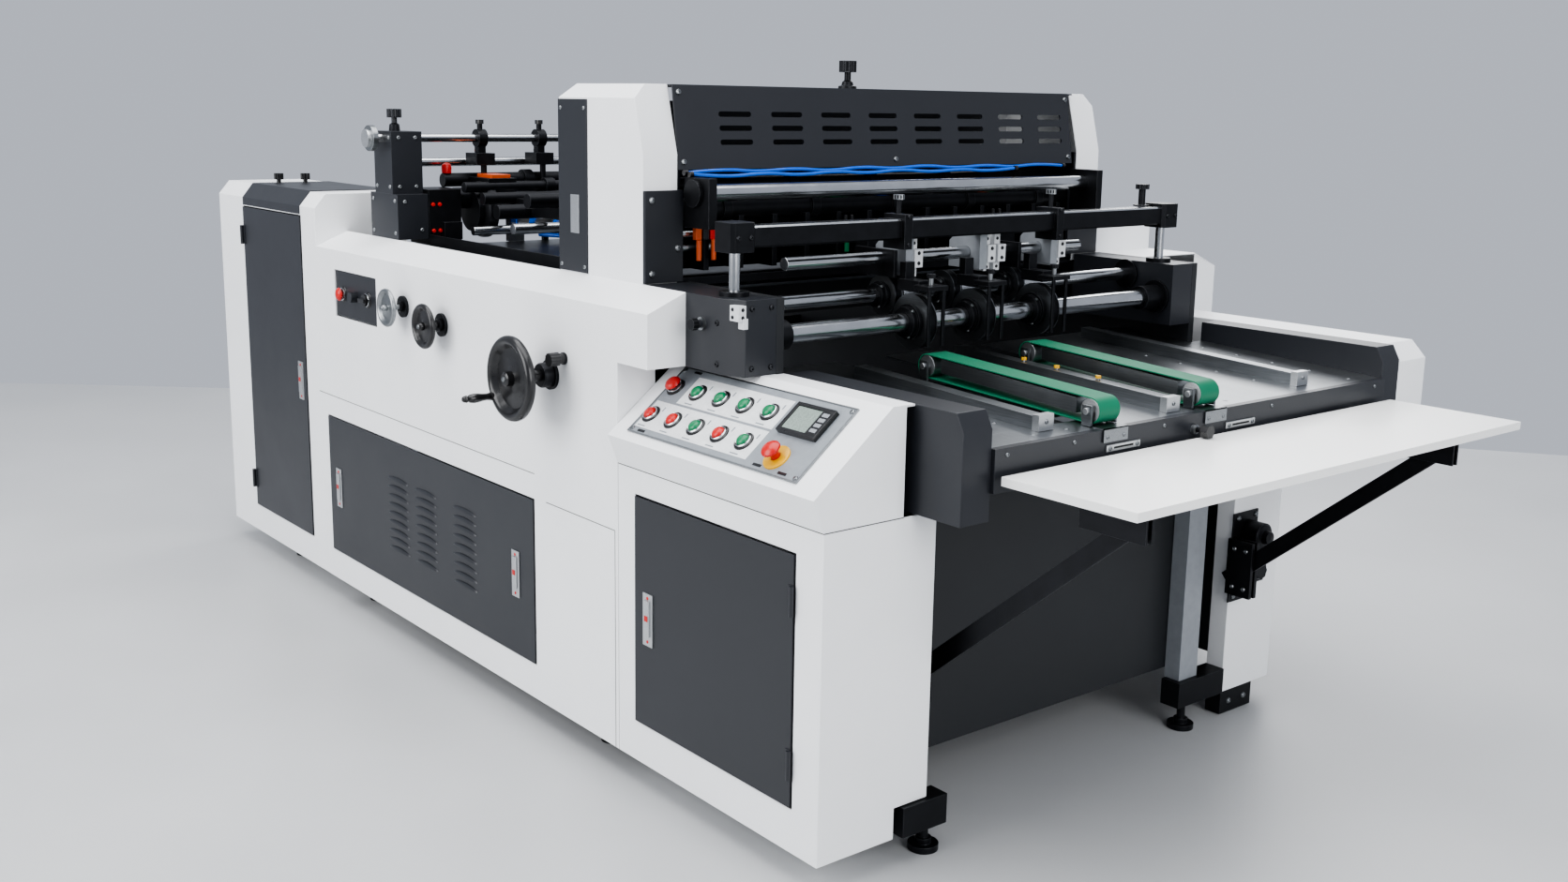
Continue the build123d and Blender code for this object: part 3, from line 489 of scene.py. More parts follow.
def louvre_mesh(length, rise, height):
    """One pressed louvre: a quarter of an ellipsoid, with a dark face of painted shade across its open
    underside.
    """
    bm = bmesh.new()
    bmesh.ops.create_uvsphere(bm, u_segments=20, v_segments=10, radius=1)
    bmesh.ops.scale(bm, vec=(length / 2, rise, height), verts=bm.verts)
    # The second cut's face takes the dark finish: painted shade where the louvre is open underneath.
    for finish, outward in enumerate(((0, 1, 0), (0, 0, -1))):
        geom = list(bm.verts) + list(bm.edges) + list(bm.faces)
        made = bmesh.ops.bisect_plane(
            bm, geom=geom, plane_co=(0, 0, 0), plane_no=outward, clear_outer=True)
        rim = [item for item in made["geom_cut"] if isinstance(item, bmesh.types.BMEdge)]
        bmesh.ops.edgeloop_fill(bm, edges=rim, mat_nr=finish)
    mesh = bpy.data.meshes.new("louvre")
    bm.to_mesh(mesh)
    bm.free()
    return mesh


def add_copy(bm, mesh, place):
    """Another copy of a small mesh, moved to its place."""
    count = len(bm.verts)
    bm.from_mesh(mesh)
    bm.verts.ensure_lookup_table()
    bmesh.ops.translate(bm, vec=place, verts=bm.verts[count:])


def soften(bm, angle=35):
    """Smooth faces, with sharp edges where they turn by more than an angle."""
    for face in bm.faces:
        face.smooth = True
    for edge in bm.edges:
        edge.smooth = edge.is_manifold and edge.calc_face_angle(math.pi) < math.radians(angle)


def make_piece(name, bm, finishes, body="machine", edge=None, closed=True):
    """Turns a bmesh into a finished piece that rides on a body."""
    bmesh.ops.remove_doubles(bm, verts=bm.verts, dist=0.00001)
    if closed:
        bmesh.ops.recalc_face_normals(bm, faces=bm.faces)
    soften(bm)
    mesh = bpy.data.meshes.new(name)
    bm.to_mesh(mesh)
    bm.free()
    for finish in finishes:
        mesh.materials.append(FINISHES[finish])
    piece = bpy.data.objects.new(name, mesh)
    bpy.context.scene.collection.objects.link(piece)
    if edge:
        rounding = piece.modifiers.new("Edge", "BEVEL")
        rounding.width = edge
        rounding.segments = 2
        rounding.limit_method = "ANGLE"
        rounding.angle_limit = math.radians(35)
        rounding.harden_normals = True
    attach(piece, body)
    return piece


def stand_in(node, bm, finishes, edge=None):
    """A finer shape that replaces a CAD node and moves as it does."""
    piece = make_piece(node + "_finished", bm, finishes, BODY_OF[node], edge)
    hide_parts(node)
    return piece


def inside(face, limits):
    centre = face.calc_center_median()
    low, high = (at(*[pair[i] for pair in limits]) for i in (0, 1))
    return all(low[i] <= centre[i] <= high[i] for i in range(3))


def dress(node, finish, edge=None, others=(), name=None):
    """A finished copy of a CAD node with rounded edges; others gives a second finish to what a box holds."""
    bm = bmesh.new()
    bm.from_mesh(frame["nodes"][node].data)
    bmesh.ops.remove_doubles(bm, verts=bm.verts, dist=0.00001)
    bmesh.ops.dissolve_limit(
        bm, angle_limit=math.radians(0.5), verts=bm.verts, edges=bm.edges, delimit={"NORMAL"})
    finishes = [finish] + [other for other, limits in others]
    for face in bm.faces:
        face.material_index = 0
        for index, (other, limits) in enumerate(others, start=1):
            if inside(face, limits):
                face.material_index = index
    piece = make_piece(name or node + "_finished", bm, finishes, BODY_OF[node],
                       sizes().edge if edge is None else edge * MM, closed=False)
    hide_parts(node)
    return piece


# ---------------------------------------------------------------- the machine's pieces


class MACHINE_OT_stage(bpy.types.Operator):
    """Floor, soft lights and the camera"""

    bl_idname = "machine.stage"
    bl_label = "Floor, lights and camera"

    def execute(self, context):
        self.add_floor()
        self.add_lights(context)
        self.add_camera(context)
        context.scene.view_settings.look = "AgX - Medium High Contrast"
        return {"FINISHED"}

    def add_floor(self):
        bm = bmesh.new()
        # The disc's far edge stands where the floor meets the wall behind the machine.
        centre = Matrix.Translation((17.68, -20.17, 0))
        bmesh.ops.create_circle(bm, cap_ends=True, segments=256, radius=30, matrix=centre)
        mesh = bpy.data.meshes.new("floor")
        bm.to_mesh(mesh)
        bm.free()
        floor = bpy.data.objects.new("floor", mesh)
        material = new_material("polished_concrete", linear("#BEBFC0"))
        clouds = noise(material, 900, detail=8, roughness=0.6)
        shade(material, (clouds, 0.3, 0.5), (clouds, linear("#B4B5B6"), linear("#C6C7C8")))
        mesh.materials.append(material)
        bpy.context.scene.collection.objects.link(floor)

    def add_lights(self, context):
        world = bpy.data.worlds.new("studio")
        world.use_nodes = True
        backdrop = world.node_tree.nodes["Background"]
        backdrop.inputs["Color"].default_value = linear("#BCC1CB")
        backdrop.inputs["Strength"].default_value = 0.95
        context.scene.world = world
        # Place and width in metres, then power in watts.
        lamps = [("overhead", (0.4, -0.6, 5.2), 5.5, 330), ("operator_side", (-0.5, -6.4, 3.2), 4.5, 330),
                 ("delivery_end", (6.2, -0.8, 2.6), 3.5, 170), ("rear", (-2.5, 5.5, 4.0), 3.5, 150)]
        for name, place, size, power in lamps:
            light = bpy.data.lights.new(name, "AREA")
            light.size = size
            light.energy = power
            lamp = bpy.data.objects.new(name, light)
            aim = Vector((0.2, 0, 0.7)) - Vector(place)
            lamp.matrix_world = Matrix.Translation(place) @ turned_to(aim, "-Z")
            context.scene.collection.objects.link(lamp)

    def add_camera(self, context):
        azimuth, pitch, roll = (math.radians(angle) for angle in (51.03, 11.09, 0.95))
        ahead = Vector((
            -math.sin(azimuth) * math.cos(pitch), math.cos(azimuth) * math.cos(pitch), -math.sin(pitch)))
        level = Vector((math.cos(azimuth), math.sin(azimuth), 0))
        upright = level.cross(ahead)
        right = math.cos(roll) * level + math.sin(roll) * upright
        up = right.cross(ahead)
        data = bpy.data.cameras.new("camera")
        data.sensor_width, data.lens, data.shift_y = 36, 35.24, -0.0242
        camera = bpy.data.objects.new("camera", data)
        turn = Matrix((right, up, -ahead)).transposed().to_4x4()
        camera.matrix_world = Matrix.Translation((3.3837, -2.6377, 1.5)) @ turn
        context.scene.collection.objects.link(camera)
        context.scene.camera = camera


class MACHINE_OT_casings(bpy.types.Operator):
    """White sheet-metal covers of the columns, body, console and tower"""

    bl_idname = "machine.casings"
    bl_label = "Casings"

    def execute(self, context):
        for node in ("operator_side_panel", "column_covers", "console_cabinet", "console_head",
                     "tower_covers", "drive_side_covers", "delivery_leg"):
            dress(node, "casing", sizes().fold / MM)
        self.add_seams()
        return {"FINISHED"}

    def add_seams(self):
        """Shadow gaps between the sheets of both sides, drawn as dark strips of painted shade, and the screws
        of the drive side.
        """
        bm = bmesh.new()
        for x, z in (((-1010, 272), (627.2, 628.8)), ((326, 623), (569.2, 570.8)),
                     ((622.2, 623.8), (64, 570))):
            add_box(bm, x, (-0.4, 0.6), z)
        add_box(bm, (636, 1328), (-0.5, 0.5), (725.2, 726.8))
        add_box(bm, (1327.5, 1328.5), (0, 199), (725.2, 726.8))
        for x, z in (((-985, 740), (627.2, 628.8)), ((-361.6, -360), (64, 627)),
                     ((299.2, 300.8), (64, 627))):
            add_box(bm, x, (WIDTH - 0.6, WIDTH + 0.4), z)
        make_piece("side_panel_seams", bm, ["dark_rubber_and_shade"])
        bm = bmesh.new()
        add_screws(bm, (-960, -400, -320, 260, 340, 715), WIDTH, (100, 590, 665, 1020), (0, 1, 0))
        make_piece("drive_side_screws", bm, ["zinc"])


class MACHINE_OT_panels(bpy.types.Operator):
    """Charcoal doors, guards and rails, with their locks, louvres and screws"""

    bl_idname = "machine.panels"
    bl_label = "Doors, guards and rails"

    # Middle of each lock plate, along the machine and in height.
    locks = {
        "column_door": [(-1140, 640)],
        "access_panel": [(181, 360), (-880, 355)],
        "cabinet_door": [(759, 403)],
    }

    def execute(self, context):
        for node, places in self.locks.items():
            plates = [("aluminium", ((x - 19, x + 19), (-14, -3.6), (z - 60, z + 60))) for x, z in places]
            dress(node, "panel", 1.2, plates)
            self.add_lock_marks(node, places)
        for node in ("slotted_guard", "rail_covers", "feeder_panel"):
            dress(node, "panel", 1.2)
        dress("tower_guards", "panel", 1.2, [("black", ((498, 542), (714, 758), (TOWER_TOP, 1610)))])
        dress("bearing_blocks", "panel", 1.2, [
            ("black", ((596, 691), y, (1225, 1337))) for y in ((199, 223), (1477, 1501))])
        dress("feeder_pillars", "panel", 1.2, [
            ("chrome", ((-742, -712), (190.5, 1509.5), (1368, 1398))),
            *[("aluminium", ((-754, -700), y, (1356, 1410))) for y in ((40, 97), (1603, 1660))]])
        self.add_louvres()
        self.add_tower_fittings()
        self.add_column_knobs()
        return {"FINISHED"}

    def add_lock_marks(self, node, places):
        """Red marks at the ends and in the middle of each lock plate."""
        bm = bmesh.new()
        for x, z in places:
            for rise in (-49, 49):
                add_turned(bm, facing(x, -6, z + rise, OUT), [(0.01, 1.2), (3.2, 1), (3.8, 0)], 0, 12)
            add_box(bm, (x - 6, x + 6), (-11, -9.8), (z - 2, z + 10))
        make_piece(node + "_lock_marks", bm, ["red"], BODY_OF[node])

    def add_louvres(self):
        """Three banks of louvres pressed into the lower panel."""
        louvre = louvre_mesh(sizes().louvre, sizes().rise, 11 * MM)
        bm = bmesh.new()
        for middle in (-477, -308, -86):
            for row in range(9):
                add_copy(bm, louvre, at(middle, -2.9, 256 + 25 * row))
        bpy.data.meshes.remove(louvre)
        make_piece("access_panel_louvres", bm, ["panel", "dark_rubber_and_shade"], BODY_OF["access_panel"])

    def add_tower_fittings(self):
        """Screws of the guard and end plates, the tower's rating plate and the ridged knobs."""
        bm = bmesh.new()
        for y in (204, 838, 1472):
            for z in (1368, 1519):
                if y != 838 or z == 1368:
                    add_screw(bm, (565.6 + (TOWER_TOP - z) * 0.1467, y, z), (184, 0, 27), 7)
        for y, z in ((116, 1286), (184, 1180), (116, 1126), (1495, 1286), (1495, 1126)):
            add_screw(bm, (596, y, z), ALONG, 8)
        add_screws(bm, (250, 351), PANEL_IN - 3, (1480, 1120), OUT, 5)
        make_piece("tower_screws", bm, ["zinc"])
        bm = bmesh.new()
        add_box(bm, (292, 328), (PANEL_IN - 4, PANEL_IN - 2.8), (1196, 1284))
        make_piece("rating_plate", bm, ["aluminium"], edge=2 * MM)
        bm = bmesh.new()
        add_knob(bm, facing(520, 736, 1574), 21.5, 27)
        add_turned(bm, facing(520, 736, TOWER_TOP), [(8, 20), (13, 16), (15, 8), (22, 6), (23, 0)])
        for y in (144, 1556):
            add_knob(bm, facing(-745, y, 1440), 20.5, 24)
            add_turned(bm, facing(-745, y, 1403), [(8, 22), (14, 18), (16, 0)])
        make_piece("tower_knobs", bm, ["black"])

    def add_column_knobs(self):
        """Two clamping knobs on top of the operator's column."""
        bm = bmesh.new()
        for x, y in ((-1556, 112), (-1530, 190)):
            add_rod(bm, x, y, (1216, 1230), 7)
            add_knob(bm, facing(x, y, 1228), 15, 20)
        make_piece("column_knobs", bm, ["black_plastic"])


class MACHINE_OT_frame(bpy.types.Operator):
    """Frame, feet, motor, pile guides, lift table and the works under the tower's guard"""

    bl_idname = "machine.frame"
    bl_label = "Frame and hidden works"

    def execute(self, context):
        dress("base_frame", "frame", others=[("grey", ((1190, 1238), (1228, 1302), (126, 782)))])
        for node, finish in (("levelling_feet", "black"), ("drive_motor", "grey"), ("pile_guides", "zinc"),
                             ("pile_table", "steel"), ("feed_deck", "table")):
            dress(node, finish)
        self.add_inner_works()
        return {"FINISHED"}

    def add_inner_works(self):
        """Dark rollers and bars under the tower's guard, their end plates and the valves in front of them."""
        bm = bmesh.new()
        for y in ((191, 198), (1502, 1509)):
            add_box(bm, (300, 586), y, (1108, 1380))
        add_box(bm, (318, 324), (198, 1502), (1098, 1250))
        add_box(bm, (560, 588), (198, 1502), (1094, 1112))
        rollers = ((560, 1262, 24, 0), (500, 1226, 28, 0), (452, 1160, 24, 0), (545, 1176, 15, 1),
                   (408, 1262, 34, 0), (350, 1200, 40, 0), (350, 1330, 30, 0), (480, 1310, 18, 0),
                   (575, 1208, 9, 1))
        add_rollers(bm, rollers, (197, 1503), range(330, 1371, 260), 12, 6)
        for y in range(260, 1440, 98):
            add_box(bm, (520, 590), (y, y + 14), (1126, 1246), 0)
        make_piece("inner_works", bm, ["black", "chrome"], edge=sizes().edge)
        bm = bmesh.new()
        for y, finish in ((236, 0), (256, 2), (276, 1), (300, 2), (330, 3), (672, 3), (692, 3), (825, 4),
                          (1180, 0), (1204, 3)):
            add_box(bm, (590, 604), (y - 8, y + 8), (1196, 1224), finish)
            add_rod(bm, 597, y, (1224, 1238), 5, 2)
        for y in (236, 276, 672):
            add_rod(bm, 604, y, (1150, 1196), 6, 3 if y == 672 else 0)
        make_piece("air_valves", bm, ["orange", "red", "black_plastic", "green", "hose"], edge=1.5 * MM)


class MACHINE_OT_console(bpy.types.Operator):
    """Control plate, buttons, display and emergency stops"""

    bl_idname = "machine.console"
    bl_label = "Console controls"

    # Places on the slope, then turned profiles of radius and height.
    buttons = [(716 + 81.5 * i, up) for up in (78, 160) for i in range(5)]
    stop_place = (1160, 64)
    cap = [(0.01, 16), (6, 15.7), (10.5, 14.4), (13.4, 12), (14.2, 9.5), (14.2, 8), (0.01, 7.6)]
    mushroom = [(0.01, 26), (8, 25.4), (14, 23), (18.4, 18.6), (19, 16), (17, 14), (7.8, 13), (7.8, 7.6),
                (0.01, 7.6)]
    stop = [(0.01, 38), (10, 37.2), (16, 34.5), (20, 30.5), (20.6, 27), (18.5, 25), (9.8, 24), (9.8, 3.2),
            (0.01, 3.2)]
    ring = [(15.2, 3), (15.2, 9), (16.6, 9.8), (18.4, 8.8), (19, 3)]
    base = [(19, 3), (19.2, 6.6), (22, 5.8), (23.2, 3)]
    collar = [(11, 3), (11, 8), (25, 7.6), (29.4, 6), (30, 3)]

    def execute(self, context):
        dress("control_plate", "plate")
        dress("panel_fittings", "black")
        dress("feeder_selector", "black_plastic")
        self.add_bezels()
        self.add_labels()
        self.add_display()
        for number, (x, up) in enumerate(self.buttons, start=1):
            profile = self.mushroom if number == 6 else self.cap
            finish = "red" if number in (1, 2, 4, 6) else "green"
            self.add_cap(f"push_button_{number}", on_slope(x, up), profile, finish)
        self.add_cap("emergency_stop", on_slope(*self.stop_place), self.stop, "red")
        self.add_cap("feeder_stop", facing(-815, 7, 940, OUT), self.mushroom, "red")
        return {"FINISHED"}

    def add_cap(self, node, place, profile, finish):
        bm = bmesh.new()
        add_turned(bm, place, profile)
        stand_in(node, bm, [finish])

    def add_bezels(self):
        """Bright rings on black bases round the buttons, and the yellow collar of the emergency stop."""
        bm = bmesh.new()
        places = [on_slope(x, up) for x, up in self.buttons]
        for place in places + [facing(x, 7, 940, OUT) for x in (-815, -650)]:
            add_turned(bm, place, self.ring)
            add_turned(bm, place, self.base, 1)
        add_turned(bm, on_slope(*self.stop_place), self.collar, 2, 40)
        stand_in("button_bezels", bm, ["chrome", "black_plastic", "yellow"])

    def add_labels(self):
        """White fields behind the buttons, a plain bar for each legend, the plate's border and its screws."""
        bm = bmesh.new()
        slope = on_slope(0, 0)
        add_box(bm, (760, 1085), (122, 200), (2.8, 3.3), 0, slope)
        add_box(bm, (697, 1085), (40, 116), (2.8, 3.3), 0, slope)
        add_border(bm, ((688, 1256), (23, 219)), ((691, 1253), (26, 216)), (0, 4), 3, slope)
        for x, up in self.buttons:
            add_box(bm, (x - 13, x + 13), (up - 34, up - 31), (3, 3.5), 1, slope)
            add_box(bm, (x + 24, x + 28), (up + 14, up + 26), (3, 3.5), 1, slope)
        for x, up in ((745, 210), (1126, 36), (732, 32), (1205, 34)):
            add_box(bm, (x - 12, x + 12), (up - 3, up + 3), (2.8, 4), 2, slope)
        for x in (698, 1246):
            for up in (33, 209):
                screw = [(0.01, 4.6), (2.2, 4.6), (2.2, 5.6), (4.6, 5.2), (6, 3)]
                add_turned(bm, on_slope(x, up), screw, 3, 16)
        make_piece("control_labels", bm, ["label", "plate", "black_plastic", "zinc"])

    def add_display(self):
        """A framed display with its keys."""
        slope = on_slope(0, 0)
        bm = bmesh.new()
        add_box(bm, (1107, 1221), (120, 196), (3, 11), 0, slope)
        add_border(bm, ((1107, 1221), (120, 196)), ((1115, 1189), (128, 188)), (10.8, 14), 0, slope)
        for row in range(4):
            add_box(bm, (1196, 1214), (133 + 13.5 * row, 142 + 13.5 * row), (13.8, 15), 1, slope)
        stand_in("display_unit", bm, ["black_plastic", "grey"], MM)
        bm = bmesh.new()
        add_box(bm, (1115.5, 1188.5), (128.5, 187.5), (10.9, 11.8), 0, slope)
        make_piece("display_window", bm, ["glass"])


class MACHINE_OT_handwheels(bpy.types.Operator):
    """Handwheels, crank grip and clamp knob"""

    bl_idname = "machine.handwheels"
    bl_label = "Handwheels"

    # Centre along the machine, height, distance in front of the panel, rim and spindle radius, finish.
    wheels = {
        "main_handwheel": (357, 880, 92, 98, 13, "black_plastic"),
        "register_handwheel": (-186, 928, 46, 58, 8, "black_plastic"),
        "feed_handwheel": (-409, 950, 44, 51, 7, "zinc"),
    }

    def execute(self, context):
        for node in self.wheels:
            self.add_wheel(node)
        self.add_flanges()
        self.add_grip()
        bm = bmesh.new()
        add_rod(bm, 416, (12, -18), 925, 6)
        add_turned(bm, facing(416, 0, 925, OUT), [(6, 17), (12, 15), (13, 0)])
        add_knob(bm, facing(416, -16, 925, OUT), 16, 26)
        stand_in("clamp_knob", bm, ["black_plastic"], MM)
        return {"FINISHED"}

    def add_wheel(self, node):
        """A dished wheel with a rounded rim, turned in one piece with its hub and spindle."""
        x, z, out, rim, spindle, finish = self.wheels[node]
        deep = 0.24 * rim
        bm = bmesh.new()
        add_turned(bm, facing(x, -out, z, OUT), [
            (0.01, deep + 7), (0.13 * rim, deep + 7), (0.17 * rim, deep + 4), (0.18 * rim, 0.55 * deep),
            (0.32 * rim, 0.36 * deep), (0.7 * rim, 0.36 * deep), (0.78 * rim, 0.75 * deep),
            (0.83 * rim, 0.97 * deep), (0.88 * rim, 1.04 * deep), (0.94 * rim, 0.98 * deep),
            (0.985 * rim, 0.78 * deep), (rim, 0.5 * deep), (0.985 * rim, 0.22 * deep),
            (0.93 * rim, 0.02 * deep), (0.85 * rim, 0), (0.78 * rim, 0.12 * deep), (0.3 * rim, 0.12 * deep),
            (0.26 * rim, -0.12 * rim), (spindle, -0.14 * rim), (spindle, -out - 5)], 0, 64)
        add_turned(bm, facing(x, -out - deep - 7, z, OUT), [(0.01, 3.6), (5, 3.2), (6.4, 1), (6.4, 0)], 1, 6)
        if node == "main_handwheel":
            grip, reach = self.grip_axis()
            add_rod(bm, grip.x, (-out - deep + 6, reach.x + 1), grip.y, 4, 1)
            pin_head = [(0.01, 5.6), (5, 5), (7, 2), (7, 0.2), (4, 0)]
            add_turned(bm, facing(grip.x, reach.x, grip.y, OUT), pin_head, 0, 20)
            add_turned(bm, facing(grip.x, -out - 0.9 * deep, grip.y, OUT), [(4, 7), (9, 6), (10, 0)], 0, 20)
        stand_in(node, bm, [finish, "zinc"])

    def grip_axis(self):
        """The grip's axis as its place along the machine and height, then its outer and inner ends."""
        low, high = ((corner - at(0, 0, 0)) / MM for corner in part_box("crank_grip"))
        return Vector(((low.x + high.x) / 2, (low.z + high.z) / 2)), Vector((low.y, high.y))

    def add_flanges(self):
        """The bushes in the panel that carry the spindles."""
        bm = bmesh.new()
        for x, z, out, rim, spindle, finish in self.wheels.values():
            bush = spindle + 0.18 * rim
            add_turned(bm, facing(x, 0, z, OUT), [
                (spindle + 0.4, 0.34 * out), (bush - 4, 0.34 * out), (bush - 2, 0.3 * out), (bush - 2, 5),
                (bush + 3, 4.4), (bush + 4, -0.5)], 0, 40)
        make_piece("spindle_bushes", bm, ["black"])

    def add_grip(self):
        """A waisted grip that turns on the crank pin."""
        axis, reach = self.grip_axis()
        # Radius, and part of the grip's length from the wheel.
        shape = ((4.3, 0), (7.4, 0.01), (8.8, 0.06), (7.6, 0.16), (8.4, 0.32), (10.6, 0.52), (10.9, 0.66),
                 (9.4, 0.8), (6.6, 0.87), (8.6, 0.93), (7.4, 0.99), (4.3, 1))
        profile = [(radius, part * (reach.y - reach.x)) for radius, part in shape]
        bm = bmesh.new()
        add_turned(bm, facing(axis.x, reach.y, axis.y, OUT), profile)
        stand_in("crank_grip", bm, ["black_plastic"])


class MACHINE_OT_tooling(bpy.types.Operator):
    """Shafts, tie bars, knife holders and the crossbeam"""

    bl_idname = "machine.tooling"
    bl_label = "Tooling"

    # Place along the machine and height of each shaft, then the radii of its hubs and itself.
    shafts = {"main_shaft": (880, 1017, 64, 23), "counter_shaft": (780, 1068, 48, 18)}
    hubs = (640, 830, 1050)
    stations = (640, 880, 1130)

    def execute(self, context):
        for node, (x, z, r, _) in self.shafts.items():
            hubs = [("black", ((x - r, x + r), (y - 35, y + 35), (z - r, z + r))) for y in self.hubs]
            ends = [("black", ((x - r, x + r), y, (z - r, z + r))) for y in ((223, 263), (1439, 1507))]
            self.thin_journals(dress(node, "chrome", others=hubs + ends), x, z)
            self.add_blades(node, x, z, r)
        dress("tie_bars", "chrome")
        dress("knife_holders", "grey", 1.5, [
            ("clamp", ((776, 852), (y + 23.9, y + 86), (1110, 1204))) for y in self.stations])
        posts = [("chrome", ((836, 864), y, (1114.5, 1194.5))) for y in ((136, 164), (1536, 1564))]
        # The top 5 mm of the black beam takes the chrome finish: a painted highlight for the light its top
        # reflects.
        painted_highlight_strip = ("chrome", ((824, 876), (182.5, 1517.5), (1244.5, 1249.5)))
        dress("crossbeam", "black", 1.5, posts + [painted_highlight_strip])
        self.add_clamp_fittings()
        self.add_tool_blocks()
        self.add_block_fittings()
        return {"FINISHED"}

    def thin_journals(self, shaft, x, z):
        """Eases a shaft where it is hidden in its bearings, so that its facets clear theirs as it turns."""
        axis, near, far = at(x, 0, z), at(0, 222, 0).y, at(0, 1508, 0).y
        for vert in shaft.data.vertices:
            if not near < vert.co.y < far:
                vert.co.x = axis.x + 0.97 * (vert.co.x - axis.x)
                vert.co.z = axis.z + 0.97 * (vert.co.z - axis.z)

    def add_blades(self, node, x, z, radius):
        """The creasing and perforating rings on a shaft's hubs, with the screws of their collars."""
        bm = bmesh.new()
        for y in self.hubs:
            for side in (-10.5, 10.5):
                add_rod(bm, x, (y + side - 1, y + side + 1), z, radius - 1, 0, segments=48)
            for turn in range(3):
                angle = math.radians(50 + 120 * turn)
                reach = 0.48 * radius + 5
                point = (x + reach * math.cos(angle), y - 28, z + reach * math.sin(angle))
                add_screw(bm, point, (math.cos(angle), 0, math.sin(angle)), 4, 1)
        make_piece(node + "_rings", bm, ["steel", "zinc"], BODY_OF[node])

    def add_clamp_fittings(self):
        """Screws and thumb nuts of the clamps on the knife holders and the beam."""
        bm = bmesh.new()
        near, middle, far = self.stations
        for y in (near + 24, middle + 24, middle + 58, far + 24):
            add_screws(bm, 850, y + 13, (1144, 1167), ALONG, 4.6)
            add_screws(bm, 836, y + 10, (1189, 1122), ALONG, 4)
            add_rod(bm, 806, y + 10, (1199, 1212), 5, 1)
            add_knob(bm, facing(806, y + 10, 1211), 8, 8, 8, 1)
        for y in (609, 1116):
            add_knob(bm, facing(850, y, 1291), 13, 11, 10, 1)
            add_screws(bm, 885, y, (1192, 1254), ALONG, 4.5)
        add_screws(bm, 884, (134, 166, 1534, 1566), 1226, ALONG, 6)
        add_knob(bm, facing(824, 1500, 1293), 18, 13, 14)
        make_piece("clamp_screws", bm, ["black", "zinc"])

    def add_tool_blocks(self):
        """Black blocks that reach from the knife holders over the shafts, with their stripper fingers."""
        bm = bmesh.new()
        for y in self.hubs:
            add_box(bm, (842, 912), (y - 20, y + 20), (1086, 1112))
            add_box(bm, (842, 862), (y - 14, y + 14), (1108, 1150))
            add_box(bm, (905, 955), (y - 30, y + 30), (1094, 1104))
            for side in (-26, 18):
                add_box(bm, (946, 952), (y + side, y + side + 8), (968, 1096))
            add_rod(bm, 930, y, (1104, 1122), 6, 1)
            add_knob(bm, facing(930, y, 1120), 11, 10, 10)
            add_screw(bm, (912, y, 1099), ALONG, 5, 1)
        for y in (640, 1050):
            add_box(bm, (700, 742), (y - 24, y + 60), (1110, 1190))
            add_box(bm, (706, 842), (y - 32, y - 22), (1114, 1176))
            add_rod(bm, (742, 778), y + 40, 1140, 9, 1)
        make_piece("tool_blocks", bm, ["black", "zinc"], edge=1.2 * MM)

    def add_block_fittings(self):
        """Bearing flanges, block screws, the side knob and the white bracket."""
        bm = bmesh.new()
        for x, z, _, radius in self.shafts.values():
            for y in ((199, 207), (1503, 1511)):
                add_rod(bm, x, y, z, radius + 20, segments=32)
        add_rod(bm, 640, (190, 201), 1302, 30, 0, segments=32)
        add_rod(bm, 810, (92, 99), 1045, 14, 1)
        add_knob(bm, facing(810, 82, 1045, OUT), 13, 14, 10)
        add_screws(bm, 622, 98, (1086, 972), OUT, 6.5)
        add_screws(bm, 862, 98, (1052, 966), OUT, 6.5)
        add_screws(bm, 930, (136, 186), (962, 1086), ALONG, 6.5)
        make_piece("block_fittings", bm, ["black", "zinc"])
        bm = bmesh.new()
        add_box(bm, (904, 934), (98, 118), (1062, 1094))
        add_box(bm, (920, 938), (108, 120), (1046, 1068))
        for z in (1070, 1086):
            add_screw(bm, (934, 109, z), ALONG, 4, 1)
            add_screw(bm, (914, 98, z), OUT, 4, 1)
        make_piece("sensor_bracket", bm, ["clamp", "black"], edge=1.5 * MM)


